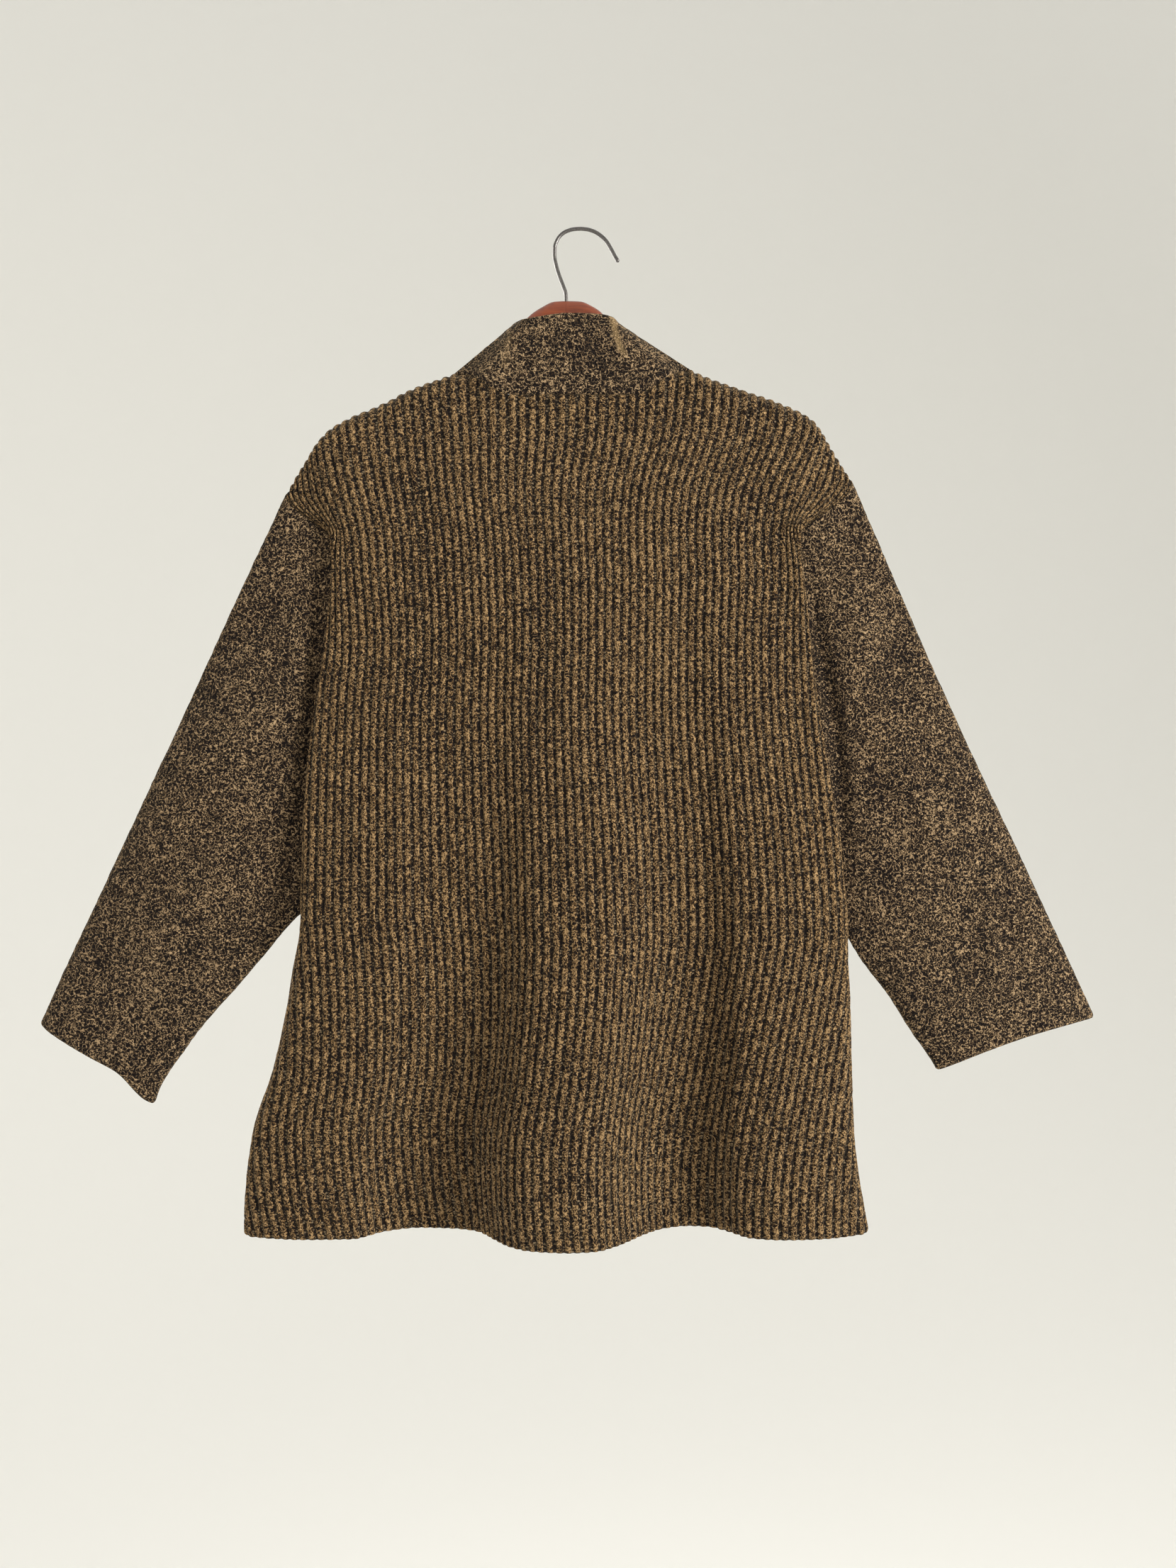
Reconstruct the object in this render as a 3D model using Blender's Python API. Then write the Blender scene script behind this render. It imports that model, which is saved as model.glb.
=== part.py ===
"""Quarter-zip sweater hanging on a wooden hanger, modelled as the pieces a maker would cut and sew.

The back of the sweater faces -Y and its front faces +Y, where a wall would be. +Z is up, and +X is the
wearer's right. The origin is the inner crown of the hanger's hook, where a nail or a rail holds it.
Every size below is in millimetres, and MM turns it into metres when a mesh is made.
Each cloth panel is a wall: outer points on the worn-side surface, inner points moved in by its thickness.
Ribs are raised in the outer points only, over a plain inside.
"""

import math

import bmesh
import bpy
import numpy as np
from mathutils import Vector

MM = 0.001

# ---------------------------------------------------------------- cloth
CLOTH = 3.0             # full thickness of the ribbed knit, to the top of a rib
PLAIN_CLOTH = 2.4       # thickness of the plain boucle knit of sleeves and collar
RIB_DEPTH = 1.3         # depth of the groove between two ribs
SEAM_GAP = 0.3          # parting between two pieces that are sewn together
# Points round an armhole, from the tip of the shoulder, where three pieces meet or the fold is sharp,
# and how many more partings the sleeve is drawn back there.
SEAM_CORNERS = ((0, 3.0), (7, 0.8), (8, 1.2), (10, 4.5), (11, 3.2))
RIBS_TOP = 34           # ribs from centre to armhole
RIBS_HEM = 40           # ribs from centre to side seam at the hem
RIBS_NECK = 12          # ribs from centre to the shoulder's neck point
INSIDE_STEP = 4         # the plain inside has one column for every four outer columns

# ---------------------------------------------------------------- body
HEM_Z = -868.0
UNDERARM_Z = {"left": -596.0, "right": -617.0}
UNDERARM_X = {"left": -243.0, "right": 233.0}
BACK_NECK_Z = -147.0    # lowest point of the back neckline
FRONT_NECK_Z = -212.0   # centre-front corner of the neckline
BODY_CENTRE = -9.5      # X of the middle of the neck and of the zip
TURN = 15.0             # width over which a panel turns into its folded side
TUCK = 19.0             # how far the armhole seam lies inside the folded side
EDGE_APART = 6.2        # Y of the armhole seams, away from the middle of the sweater
RIDGE_FALL = 13.0       # height over which the cloth rounds over the shoulder seam

# One row per level of the body. left and right are the X of the folded sides; back and front are the Y
# of the two panels in the middle and back_side, front_side at the folded sides; hidden is the number of
# ribs beyond the fold; seam_left and seam_right are the Y of the side seams; wave is the share of the
# hem's waves that has built up.
BODY_LEVELS = [
    # z,     left,   right,  back, back_side, front, front_side, hidden, seam_left, seam_right, wave
    (-100.0, -217.0, 200.0, -12.0, -12.0, 12.0, 12.0, 6.5, 0.0, 0.0, 0.00),
    (-170.0, -217.0, 200.0, -14.0, -13.0, 13.0, 12.5, 6.5, 0.0, 0.0, 0.00),
    (-235.0, -215.5, 187.5, -18.0, -15.5, 14.5, 13.5, 6.8, 0.0, 0.0, 0.00),
    (-296.0, -215.3, 192.5, -22.0, -17.0, 15.0, 14.0, 6.6, 0.0, 0.0, 0.02),
    (-358.0, -220.0, 199.0, -25.0, -17.5, 15.0, 14.0, 5.2, 0.0, 0.0, 0.07),
    (-419.0, -229.5, 206.0, -27.5, -18.0, 15.0, 14.0, 4.4, 0.0, 0.0, 0.15),
    (-480.0, -235.5, 215.5, -30.0, -19.0, 15.0, 15.0, 3.8, 0.0, 0.0, 0.26),
    (-541.0, -240.8, 226.0, -32.5, -22.0, 15.0, 16.0, 3.2, 0.0, 0.0, 0.38),
    (-603.0, -245.4, 233.0, -34.5, -21.0, 15.0, 15.0, 2.8, 0.0, 0.0, 0.52),
    (-664.0, -252.5, 235.0, -36.5, -21.0, 15.0, 13.0, 2.5, -3.0, -2.0, 0.66),
    (-725.0, -264.5, 236.0, -38.5, -23.0, 15.0, 12.0, 2.2, -7.0, -5.0, 0.79),
    (-787.0, -283.0, 238.0, -40.0, -26.0, 15.0, 10.0, 2.0, -12.0, -7.0, 0.91),
    (-848.0, -288.5, 246.0, -41.0, -29.0, 15.0, 7.0, 1.6, -17.0, -10.0, 1.00),
    (-868.0, -288.5, 250.0, -41.0, -30.0, 15.0, 6.0, 1.5, -19.0, -11.0, 1.00),
]
BODY_COLUMNS = ("z", "left", "right", "back", "back_side", "front", "front_side", "hidden",
                "seam_left", "seam_right", "wave")

# The waves of the two hems, from the left side to the right: X along the hem and the Y of the cloth.
BACK_WAVES = [(-290.0, -30.0), (-268.0, -38.0), (-230.0, -42.0), (-192.0, -40.0), (-168.0, -22.0),
              (-140.0, -13.0), (-112.0, -15.0), (-90.0, -22.0), (-75.0, -40.0), (-60.0, -58.0),
              (-42.0, -68.0), (-10.0, -72.0), (12.0, -69.0), (31.0, -56.0), (44.0, -42.0),
              (57.0, -27.0), (72.0, -15.0), (93.0, -9.0), (110.0, -11.0), (127.0, -24.0),
              (142.0, -38.0), (170.0, -43.0), (200.0, -41.0), (228.0, -34.0), (250.0, -22.0)]
FRONT_WAVES = [(-290.0, 4.0), (-250.0, 14.0), (-205.0, 18.0), (-155.0, 10.0), (-100.0, 17.0),
               (-55.0, 19.0), (-10.0, 13.0), (40.0, 17.0), (90.0, 11.0), (140.0, 18.0),
               (190.0, 12.0), (225.0, 14.0), (250.0, 4.0)]

# The shoulder seam, from the neck point over the hanger's end to the tip of the dropped shoulder.
SHOULDER_LEFT = [(12.0, -110.6, -125.0), (16.8, -148.5, -138.8), (19.9, -172.6, -151.0),
                 (23.4, -201.0, -163.4), (25.4, -216.0, -171.5), (27.5, -229.0, -184.0),
                 (29.9, -239.5, -200.5), (31.7, -247.5, -213.0), (34.0, -257.0, -229.8)]
SHOULDER_RIGHT = [(12.0, 97.0, -121.5), (14.1, 112.6, -128.6), (17.8, 141.7, -138.8),
                  (22.3, 177.0, -151.5), (25.4, 200.6, -163.4), (27.4, 211.0, -175.2),
                  (29.3, 218.6, -188.2), (31.4, 227.5, -202.5), (34.0, 237.8, -218.6)]
VALLEY_Z = -290.0       # below this level the shoulder's rotation has died out

# Levels of the cross rows: share of the way from the top edge to the underarm, then on to the hem.
ROWS_TO_UNDERARM = (0.0, 0.03, 0.10, 0.19, 0.30, 0.44, 0.62, 0.80, 0.94, 1.0)
ROWS_TO_HEM = (0.2, 0.4, 0.6, 0.8, 1.0)

# ---------------------------------------------------------------- front opening
SLIT_ROWS_Z = (-212.0, -222.0, -250.0, -310.0, -385.0, -400.0, -465.0, -535.0, -590.0, -606.5)
SLIT_LAST_OPEN_ROW = 4          # the opening narrows to nothing between this row and the next
SLIT_REACH = 9.0                # ribs over which the opening's rows fade into the panel's own
SLIT_PUSH = 110.0               # distance from the centre over which the parted cloth is pushed together
SLIT_HALF_BOTTOM = 6.0
SLIT_HALF_NECK = 27.0
SLIT_TOP_Z, SLIT_BOTTOM_Z, SLIT_CLOSED_Z = -212.0, -385.0, -400.0
SLIT_SETTLED_Z = -520.0         # below this level the zip no longer holds the cloth to its middle

# ---------------------------------------------------------------- collar
COLLAR_ROWS = 5
# Top edge of the collar, from the left front corner round the back to the right front corner.
# around is 0 and 1 at the front corners, 0.27 and 0.73 on the folds over the hanger, 0.5 at centre back.
COLLAR_TOP = [
    # around, x,     y,     z
    (0.00, -68.0, 15.0, -152.0),
    (0.10, -67.0, 15.0, -124.0),
    (0.19, -61.0, 11.5, -96.0),
    (0.27, -53.5, 0.0, -78.0),
    (0.33, -45.0, -10.0, -79.3),
    (0.50, -12.0, -13.0, -76.3),
    (0.67, 20.0, -10.0, -76.1),
    (0.73, 29.0, 0.0, -78.0),
    (0.81, 39.0, 11.5, -95.0),
    (0.90, 47.0, 15.0, -122.0),
    (1.00, 49.0, 15.0, -152.0),
]

# ---------------------------------------------------------------- sleeves
SLEEVE_ROWS = (0.0, 0.05, 0.13, 0.25, 0.4, 0.56, 0.72, 0.87, 1.0)
# One row per section of a sleeve, from the armhole to the cuff: the outer and the inner point of its
# outline, the Y of its middle and half its depth.
SLEEVE_LEFT = [
    # share, outer x, outer z, inner x, inner z, middle y, half depth
    (0.00, -257.0, -229.8, -238.0, -596.0, 2.0, 12.0),
    (0.20, -301.0, -323.0, -264.0, -620.0, 1.5, 13.0),
    (0.45, -354.5, -439.0, -300.0, -661.0, 2.0, 14.0),
    (0.70, -409.0, -555.0, -336.0, -702.0, 4.0, 13.0),
    (0.90, -453.0, -648.0, -359.0, -736.0, 5.0, 12.0),
    (1.00, -474.0, -694.5, -367.0, -752.0, 5.0, 12.0),
]
SLEEVE_RIGHT = [
    (0.00, 237.8, -218.6, 236.0, -617.0, 2.0, 12.0),
    (0.20, 281.0, -319.0, 250.0, -641.0, 2.0, 13.0),
    (0.45, 334.0, -438.0, 270.0, -669.0, 2.0, 14.0),
    (0.70, 389.0, -554.0, 291.0, -702.0, 3.0, 13.0),
    (0.90, 431.0, -644.0, 306.5, -724.0, 4.0, 12.0),
    (1.00, 451.0, -688.0, 313.0, -735.0, 4.0, 12.0),
]
SLEEVE_COLUMNS = ("share", "outer_x", "outer_z", "inner_x", "inner_z", "middle", "half")
# The left cuff dips where its inner corner folds forward: depth along the sleeve and where it starts.
CUFF_DIP = {"left": 14.0, "right": 0.0}
CUFF_DIP_START = 0.62
CUFF_SAG = {"left": 2.0, "right": -5.0}     # bow of the cuff's edge between its corners
# Share of the sleeve that still lies deep beside the body's fold, at the back and at the front.
VALLEY_REACH = {"left": 0.14, "right": 0.22}
FRONT_REACH = 0.22

# ---------------------------------------------------------------- zip
TAPE_WIDTH, TAPE_THICK = 10.0, 0.9
TAPE_SHOWS = 4.5        # width of tape beyond the cloth's edge
ZIP_BEHIND = 0.4        # gap between the cloth's inside and the tape
COLLAR_BEHIND = 2.8     # the same on the collar, which bends more
TAPE_TAIL = 11.0        # length of tape below the foot of the slit
TAPE_SHORT = 0.96       # share of the collar's height that the tape climbs
SLIDER_Z = -373.0
SLIDER_Y = 11.15        # middle of the tapes, where the slider's channel runs
SLIDER_TOP_W, SLIDER_FOOT_W, SLIDER_L, SLIDER_PLATE = 9.6, 7.6, 12.0, 1.2
SLIDER_CHANNEL = 2.0    # free height between the slider's two plates
POST_W, POST_L = 1.8, 3.6
HINGE_Y, HINGE_Z = 16.6, -374.5
CROWN_W, CROWN_BAR, CROWN_LEG = 2.4, 1.0, 1.2
CROWN_INSIDE = (-1.2, 2.8)      # free length of the crown below and above the hinge
CROWN_ROOM = 1.0                # from the hinge's axis to the crown's bar
PULL_W, PULL_L, PULL_THICK, PULL_ROUND = 6.4, 27.0, 1.2, 1.8
PULL_SLOT_W, PULL_SLOT_END = 3.2, 5.0
PULL_HOLE_D = 2.6

# ---------------------------------------------------------------- hanger
SPLIT_X = -12.1         # the plane where the hanger's two halves are glued
SPLIT_GAP = 0.05
HANGER_HALF_THICK = 5.2
HANGER_RIDGE = 1.2      # half width of the flat along the hanger's top
HANGER_SHOULDER = 7.6   # height over which the top rounds over to the full thickness
HANGER_CLEAR = 5.7      # from the shoulder seam's outside down to the wood
WIRE_D = 3.2
WIRE_HOLE_D, WIRE_HOLE_FOOT = 3.6, -78.0
# Top of the wood inside the neck, as X and Z; from the neck point on it follows the shoulder seam.
HUMP_LEFT = [(-12.1, -60.4), (-22.0, -61.0), (-34.5, -66.7), (-42.0, -71.8), (-47.0, -76.6),
             (-51.5, -83.5), (-58.0, -93.5), (-68.0, -106.0), (-88.0, -123.5), (-112.0, -139.0)]
HUMP_RIGHT = [(-12.1, -60.4), (0.4, -61.0), (9.7, -64.8), (17.0, -69.5), (22.0, -74.8),
              (27.0, -84.5), (35.0, -96.0), (48.0, -108.0), (72.0, -122.0), (99.0, -136.0)]
ARM_RIBS = (15.0, 18.0, 20.0, 22.0, 24.0, 24.8)     # ribs under which the arm has a section
# Height of the wood at a distance from its centre.
WOOD_HEIGHT = [(0.0, 52.0), (20.0, 48.0), (45.0, 33.0), (80.0, 27.0), (130.0, 27.0), (185.0, 23.0),
               (215.0, 17.0)]
# Centre line of the wire hook from inside the wood to its tip, as X and Z.
HOOK_LINE = [(-12.1, -76.0), (-12.1, -66.0), (-12.5, -55.5), (-15.0, -47.6), (-18.0, -39.8),
             (-20.8, -30.5), (-22.3, -22.0), (-22.2, -14.8), (-20.1, -8.4), (-16.4, -3.4),
             (-11.4, -0.3), (-5.7, 1.3), (0.0, 1.7), (5.8, 1.2), (12.0, -0.6), (17.8, -4.1),
             (22.6, -8.7), (26.9, -15.6), (30.5, -22.3), (33.7, -27.6)]
HOOK_STEP = 2.6

COLOURS = {
    # name: colour, roughness, metallic
    "ribbed_knit": ((0.235, 0.165, 0.085), 0.95, 0.0),
    "plain_knit": ((0.205, 0.150, 0.082), 0.95, 0.0),
    "zip_tape": ((0.035, 0.028, 0.022), 0.9, 0.0),
    "zip_metal": ((0.30, 0.24, 0.15), 0.35, 1.0),
    "wood": ((0.36, 0.115, 0.045), 0.35, 0.0),
    "wire": ((0.23, 0.22, 0.22), 0.35, 1.0),
}


# ================================================================= curves and tables
def curve_through(xs, ys, x):
    """Smooth curve through the points (xs, ys) that never overshoots between two of them."""
    xs = np.asarray(xs, float)
    ys = np.asarray(ys, float)
    steps = np.diff(xs)
    slopes = np.diff(ys) / steps
    bends = np.zeros(len(xs))
    same_way = slopes[:-1] * slopes[1:] > 0
    inner = np.zeros(len(slopes) - 1)
    left_weight = 2 * steps[1:] + steps[:-1]
    right_weight = steps[1:] + 2 * steps[:-1]
    total = left_weight + right_weight
    inner[same_way] = total[same_way] / (
        left_weight[same_way] / slopes[:-1][same_way] + right_weight[same_way] / slopes[1:][same_way])
    bends[1:-1] = inner
    bends[0], bends[-1] = slopes[0], slopes[-1]
    x = np.clip(np.asarray(x, float), xs[0], xs[-1])
    cell = np.clip(np.searchsorted(xs, x, side="right") - 1, 0, len(steps) - 1)
    t = (x - xs[cell]) / steps[cell]
    width = steps[cell]
    return ((1 + 2 * t) * (1 - t) ** 2 * ys[cell] + t * (1 - t) ** 2 * width * bends[cell]
            + t ** 2 * (3 - 2 * t) * ys[cell + 1] + t ** 2 * (t - 1) * width * bends[cell + 1])


def column(table, names, wanted, where):
    """One named column of a table, read at the values where of its first column."""
    rows = np.array(table, float)
    order = np.argsort(rows[:, 0])
    return curve_through(rows[order, 0], rows[order, names.index(wanted)], where)


def ease(x):
    """0 to 1 with soft ends."""
    x = np.clip(x, 0.0, 1.0)
    return x * x * (3 - 2 * x)


# ================================================================= the body's surface
def body_level(name, z):
    return float(column(BODY_LEVELS, BODY_COLUMNS, name, z))


def ribs_to_edge(z, side):
    """Ribs from the centre to the armhole or the side seam at a level."""
    below = (UNDERARM_Z[side] - z) / (UNDERARM_Z[side] - HEM_Z)
    return RIBS_TOP + (RIBS_HEM - RIBS_TOP) * min(max(below, 0.0), 1.0)


def shoulder(rib):
    """X and Z of the shoulder seam at a rib; the neck point where the rib is inside the neck."""
    table = np.array(SHOULDER_LEFT if rib < 0 else SHOULDER_RIGHT)
    out = max(abs(rib), RIBS_NECK)
    return (float(curve_through(table[:, 0], table[:, 1], out)),
            float(curve_through(table[:, 0], table[:, 2], out)))


def top_edge(panel, rib):
    """X, Y and Z of the top edge of a panel: the shoulder seam, or the neckline inside the neck."""
    x, z = shoulder(rib)
    if abs(rib) >= RIBS_NECK:
        return x, 0.0, z
    left, right = shoulder(-RIBS_NECK), shoulder(RIBS_NECK)
    across = (rib + RIBS_NECK) / (2 * RIBS_NECK)
    chord_z = left[1] + (right[1] - left[1]) * across
    inside = 1.0 - abs(rib) / RIBS_NECK
    if panel == "back":
        drop = (BACK_NECK_Z - chord_z) * ease(inside * 2.0)
        x = left[0] + (right[0] - left[0]) * across
        return x, body_level("back", -147.0) * float(ease(inside * 4.0)), chord_z + float(drop)
    side = -1.0 if rib < 0 else 1.0
    corner = BODY_CENTRE + side * SLIT_HALF_NECK
    neck = left if rib < 0 else right
    x = neck[0] + (corner - neck[0]) * inside
    z = neck[1] + (FRONT_NECK_Z - neck[1]) * math.sin(inside * math.pi / 2) ** 1.25
    return x, body_level("front", -200.0) * float(ease(inside * 4.0)), z


def panel_depth(panel, z, x):
    """Y of a panel's middle part at a level, at the X values of an array."""
    left, right = body_level("left", z), body_level("right", z)
    u = (2 * x - left - right) / (right - left)
    flat = body_level(panel, z)
    side = body_level(panel + "_side", z)
    calm = flat + (side - flat) * np.abs(u) ** 3
    waves = np.array(BACK_WAVES if panel == "back" else FRONT_WAVES)
    ends = waves[0, 0], waves[-1, 0]
    hem_x = (ends[0] + ends[1]) / 2 + u * (ends[1] - ends[0]) / 2
    wave = body_level("wave", z)
    return calm + wave * (curve_through(waves[:, 0], waves[:, 1], hem_x) - calm)


def armhole_share(side, z):
    """0 at the tip of the shoulder, 1 at the underarm and below it."""
    tip_z = (SHOULDER_LEFT if side == "left" else SHOULDER_RIGHT)[-1][2]
    return min(max((tip_z - z) / (tip_z - UNDERARM_Z[side]), 0.0), 1.0)


def edge_point(panel, side, z):
    """X and Y of a panel's own edge at a level below the shoulder: armhole seam, then side seam."""
    inward = 1.0 if side == "left" else -1.0
    tip = (SHOULDER_LEFT if side == "left" else SHOULDER_RIGHT)[-1]
    outline = body_level(side, z)
    if z <= UNDERARM_Z[side]:
        settle = float(ease((UNDERARM_Z[side] - z) / 50.0))
        return UNDERARM_X[side] * (1 - settle) + (outline + 0.3 * inward) * settle, body_level(
            "seam_" + side, z)
    share = armhole_share(side, z)
    tucked = outline + TUCK * min(body_level("hidden", z) / 5.0, 1.0) * inward
    reach = float(ease((tip[2] - z) / (tip[2] - VALLEY_Z)))
    near = float(ease((z - UNDERARM_Z[side]) / 120.0))
    x = tip[1] + (tucked - tip[1]) * reach
    x = UNDERARM_X[side] + (x - UNDERARM_X[side]) * near
    apart = EDGE_APART * max(math.sin(math.pi * share), 0.1 if share < 0.5 else 0.0) ** 0.14
    return x, -apart if panel == "back" else apart


def side_turn(panel, side, z):
    """The folded side of a panel at a level, as X and Y from the middle part to the panel's edge."""
    inward = 1.0 if side == "left" else -1.0
    outline = body_level(side, z)
    start_x = outline + TURN * inward
    start_y = float(panel_depth(panel, z, np.array([start_x]))[0])
    end_x, end_y = edge_point(panel, side, z)
    share = armhole_share(side, z)
    tucked = float(ease((1.0 - share) * 4.0)) if z > UNDERARM_Z[side] else 0.0
    peak = (outline - (start_x + end_x) / 8.0) / 0.75
    round_x = start_x + 0.55 * (end_x - start_x)
    first = (round_x + (peak - round_x) * tucked, start_y)
    last = (end_x + (peak - end_x) * tucked, end_y + (start_y - end_y) * 0.55 * (1 - 0.15 * tucked))
    t = np.linspace(0.0, 1.0, 25)
    b0, b1, b2, b3 = (1 - t) ** 3, 3 * t * (1 - t) ** 2, 3 * t ** 2 * (1 - t), t ** 3
    return (b0 * start_x + b1 * first[0] + b2 * last[0] + b3 * end_x,
            b0 * start_y + b1 * first[1] + b2 * last[1] + b3 * end_y)


def arc(x, y):
    """Length along a line of points, from its start."""
    return np.concatenate([[0.0], np.cumsum(np.hypot(np.diff(x), np.diff(y)))])


LEVEL_CURVES = {}


def level_curve(panel, z):
    """The panel's cross section at a level: ribs, X and Y from its left edge to its right edge."""
    key = (panel, round(z, 2))
    if key in LEVEL_CURVES:
        return LEVEL_CURVES[key]
    left, right = body_level("left", z), body_level("right", z)
    x = np.linspace(left + TURN, right - TURN, 241)
    y = panel_depth(panel, z, x)
    hidden = body_level("hidden", z) + 0.6 * TURN / 7.7
    run = arc(x, y)
    edge_left, edge_right = ribs_to_edge(z, "left"), ribs_to_edge(z, "right")
    ribs = -(edge_left - hidden) + run / run[-1] * (edge_left + edge_right - 2 * hidden)
    parts = [(ribs, x, y)]
    for side, edge, way in (("left", edge_left, -1.0), ("right", edge_right, 1.0)):
        turn_x, turn_y = side_turn(panel, side, z)
        turn_run = arc(turn_x, turn_y)
        turn_ribs = way * (edge - hidden + hidden * turn_run / turn_run[-1])
        if side == "left":
            parts.insert(0, (turn_ribs[:0:-1], turn_x[:0:-1], turn_y[:0:-1]))
        else:
            parts.append((turn_ribs[1:], turn_x[1:], turn_y[1:]))
    LEVEL_CURVES[key] = tuple(np.concatenate([part[k] for part in parts]) for k in range(3))
    return LEVEL_CURVES[key]


def row_level(panel, rib, row):
    """Z of a cross row at a rib."""
    side = "left" if rib < 0 else "right"
    top_z = top_edge(panel, rib)[2]
    across = (rib / RIBS_TOP + 1.0) / 2.0
    under = UNDERARM_Z["left"] + (UNDERARM_Z["right"] - UNDERARM_Z["left"]) * min(max(across, 0.0), 1.0)
    under = UNDERARM_Z[side] if abs(rib) >= RIBS_TOP else under
    n_upper = len(ROWS_TO_UNDERARM)
    if row >= n_upper:
        return under + (HEM_Z - under) * ROWS_TO_HEM[row - n_upper]
    z = top_z + (under - top_z) * ROWS_TO_UNDERARM[row]
    if panel == "front":
        near = 1.0 - float(ease(abs(rib) / SLIT_REACH))
        z += (SLIT_ROWS_Z[row] - z) * near
    return z


def slit_half(z):
    """Half of the front opening's width at a level."""
    if z < SLIT_BOTTOM_Z:
        return SLIT_HALF_BOTTOM * max((z - SLIT_CLOSED_Z) / (SLIT_BOTTOM_Z - SLIT_CLOSED_Z), 0.0)
    up = (z - SLIT_BOTTOM_Z) / (SLIT_TOP_Z - SLIT_BOTTOM_Z)
    return SLIT_HALF_BOTTOM + (SLIT_HALF_NECK - SLIT_HALF_BOTTOM) * up


def parted(x, z, way):
    """X of a point of the front at a level once the slit has pushed it aside; way is -1 or 1."""
    ribs, xs, _ = level_curve("front", z)
    centre = float(np.interp(0.0, ribs, xs))
    near = max(0.0, 1.0 - abs(x - centre) / SLIT_PUSH)
    held = float(ease((z - SLIT_SETTLED_Z) / (SLIT_CLOSED_Z - SLIT_SETTLED_Z)))
    return x + ((BODY_CENTRE - centre) * held + way * slit_half(z)) * near


class Panel:
    """A body panel as a net of points: a row for each level, a column for each half rib."""

    def __init__(self, name):
        self.name = name
        self.rows = len(ROWS_TO_UNDERARM) + len(ROWS_TO_HEM)
        self.ribs = np.arange(-2 * RIBS_HEM, 2 * RIBS_HEM + 1) / 2.0
        self.middle = 2 * RIBS_HEM
        self.points = np.array([[self.point(rib, row) for rib in self.ribs] for row in range(self.rows)])
        if name == "front":
            rows = range(SLIT_LAST_OPEN_ROW + 1)
            self.right_lip = np.array([self.point(0.0, row, 1.0) for row in rows])
        straighten(self.points[0], self.middle)
        if name == "front":
            self.straighten_right_of_slit()

    def clamped(self, rib, row):
        """The rib itself, or the panel's edge where the rib lies beyond it."""
        side = "left" if rib < 0 else "right"
        if row < len(ROWS_TO_UNDERARM):
            edge = float(RIBS_TOP)
        else:
            z = row_level(self.name, math.copysign(RIBS_TOP, rib), row)
            edge = float(ribs_to_edge(z, side))
        return math.copysign(min(abs(rib), edge), rib)

    def edge_column(self, row, way):
        """The first column, from the centre outwards, that lies on the panel's edge in a row."""
        edge = abs(self.clamped(math.copysign(RIBS_HEM, way), row))
        return self.middle + way * int(math.ceil(2 * edge - 1e-6))

    def point(self, rib, row, way=None):
        """A point of the net. way is 1 for the right edge of the slit, where the centre rib is parted."""
        rib = self.clamped(rib, row)
        way = way or (1.0 if rib > 0 else -1.0)
        x_top, y_top, z_top = top_edge(self.name, rib if rib else way * 1e-6)
        if row == 0:
            return x_top, y_top, z_top
        z = row_level(self.name, rib, row)
        ribs, xs, ys = level_curve(self.name, z)
        x, y = float(np.interp(rib, ribs, xs)), float(np.interp(rib, ribs, ys))
        fall = z_top - z
        settled_x = float(ease(fall / max(z_top - VALLEY_Z, 60.0)))
        top_ribs, top_xs, _ = level_curve(self.name, z_top)
        level_x = float(np.interp(rib, top_ribs, top_xs))
        if self.name == "front":
            x = parted(x, z, way)
            level_x = parted(level_x, z_top, way)
        x += (x_top - level_x) * (1.0 - settled_x)
        settled_y = float(ease(math.sqrt(min(fall / RIDGE_FALL, 1.0))))
        if abs(rib) >= RIBS_NECK:
            y = y_top + (y - y_top) * settled_y
        else:
            at_neck = y_top + (y - y_top) * float(ease(fall / 60.0))
            inside = float(ease((RIBS_NECK - abs(rib)) / 3.0))
            y = (y_top + (y - y_top) * settled_y) * (1 - inside) + at_neck * inside
        return x, y, z

    def straighten_right_of_slit(self):
        """The neckline's first stretch on the right starts from the slit's other edge."""
        start, end = self.right_lip[0], self.points[0, self.middle + INSIDE_STEP]
        for k in range(1, INSIDE_STEP):
            share = k / INSIDE_STEP
            self.points[0, self.middle + k] = start * (1 - share) + end * share


# ================================================================= sleeves
def sleeve_table(side):
    return SLEEVE_LEFT if side == "left" else SLEEVE_RIGHT


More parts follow.
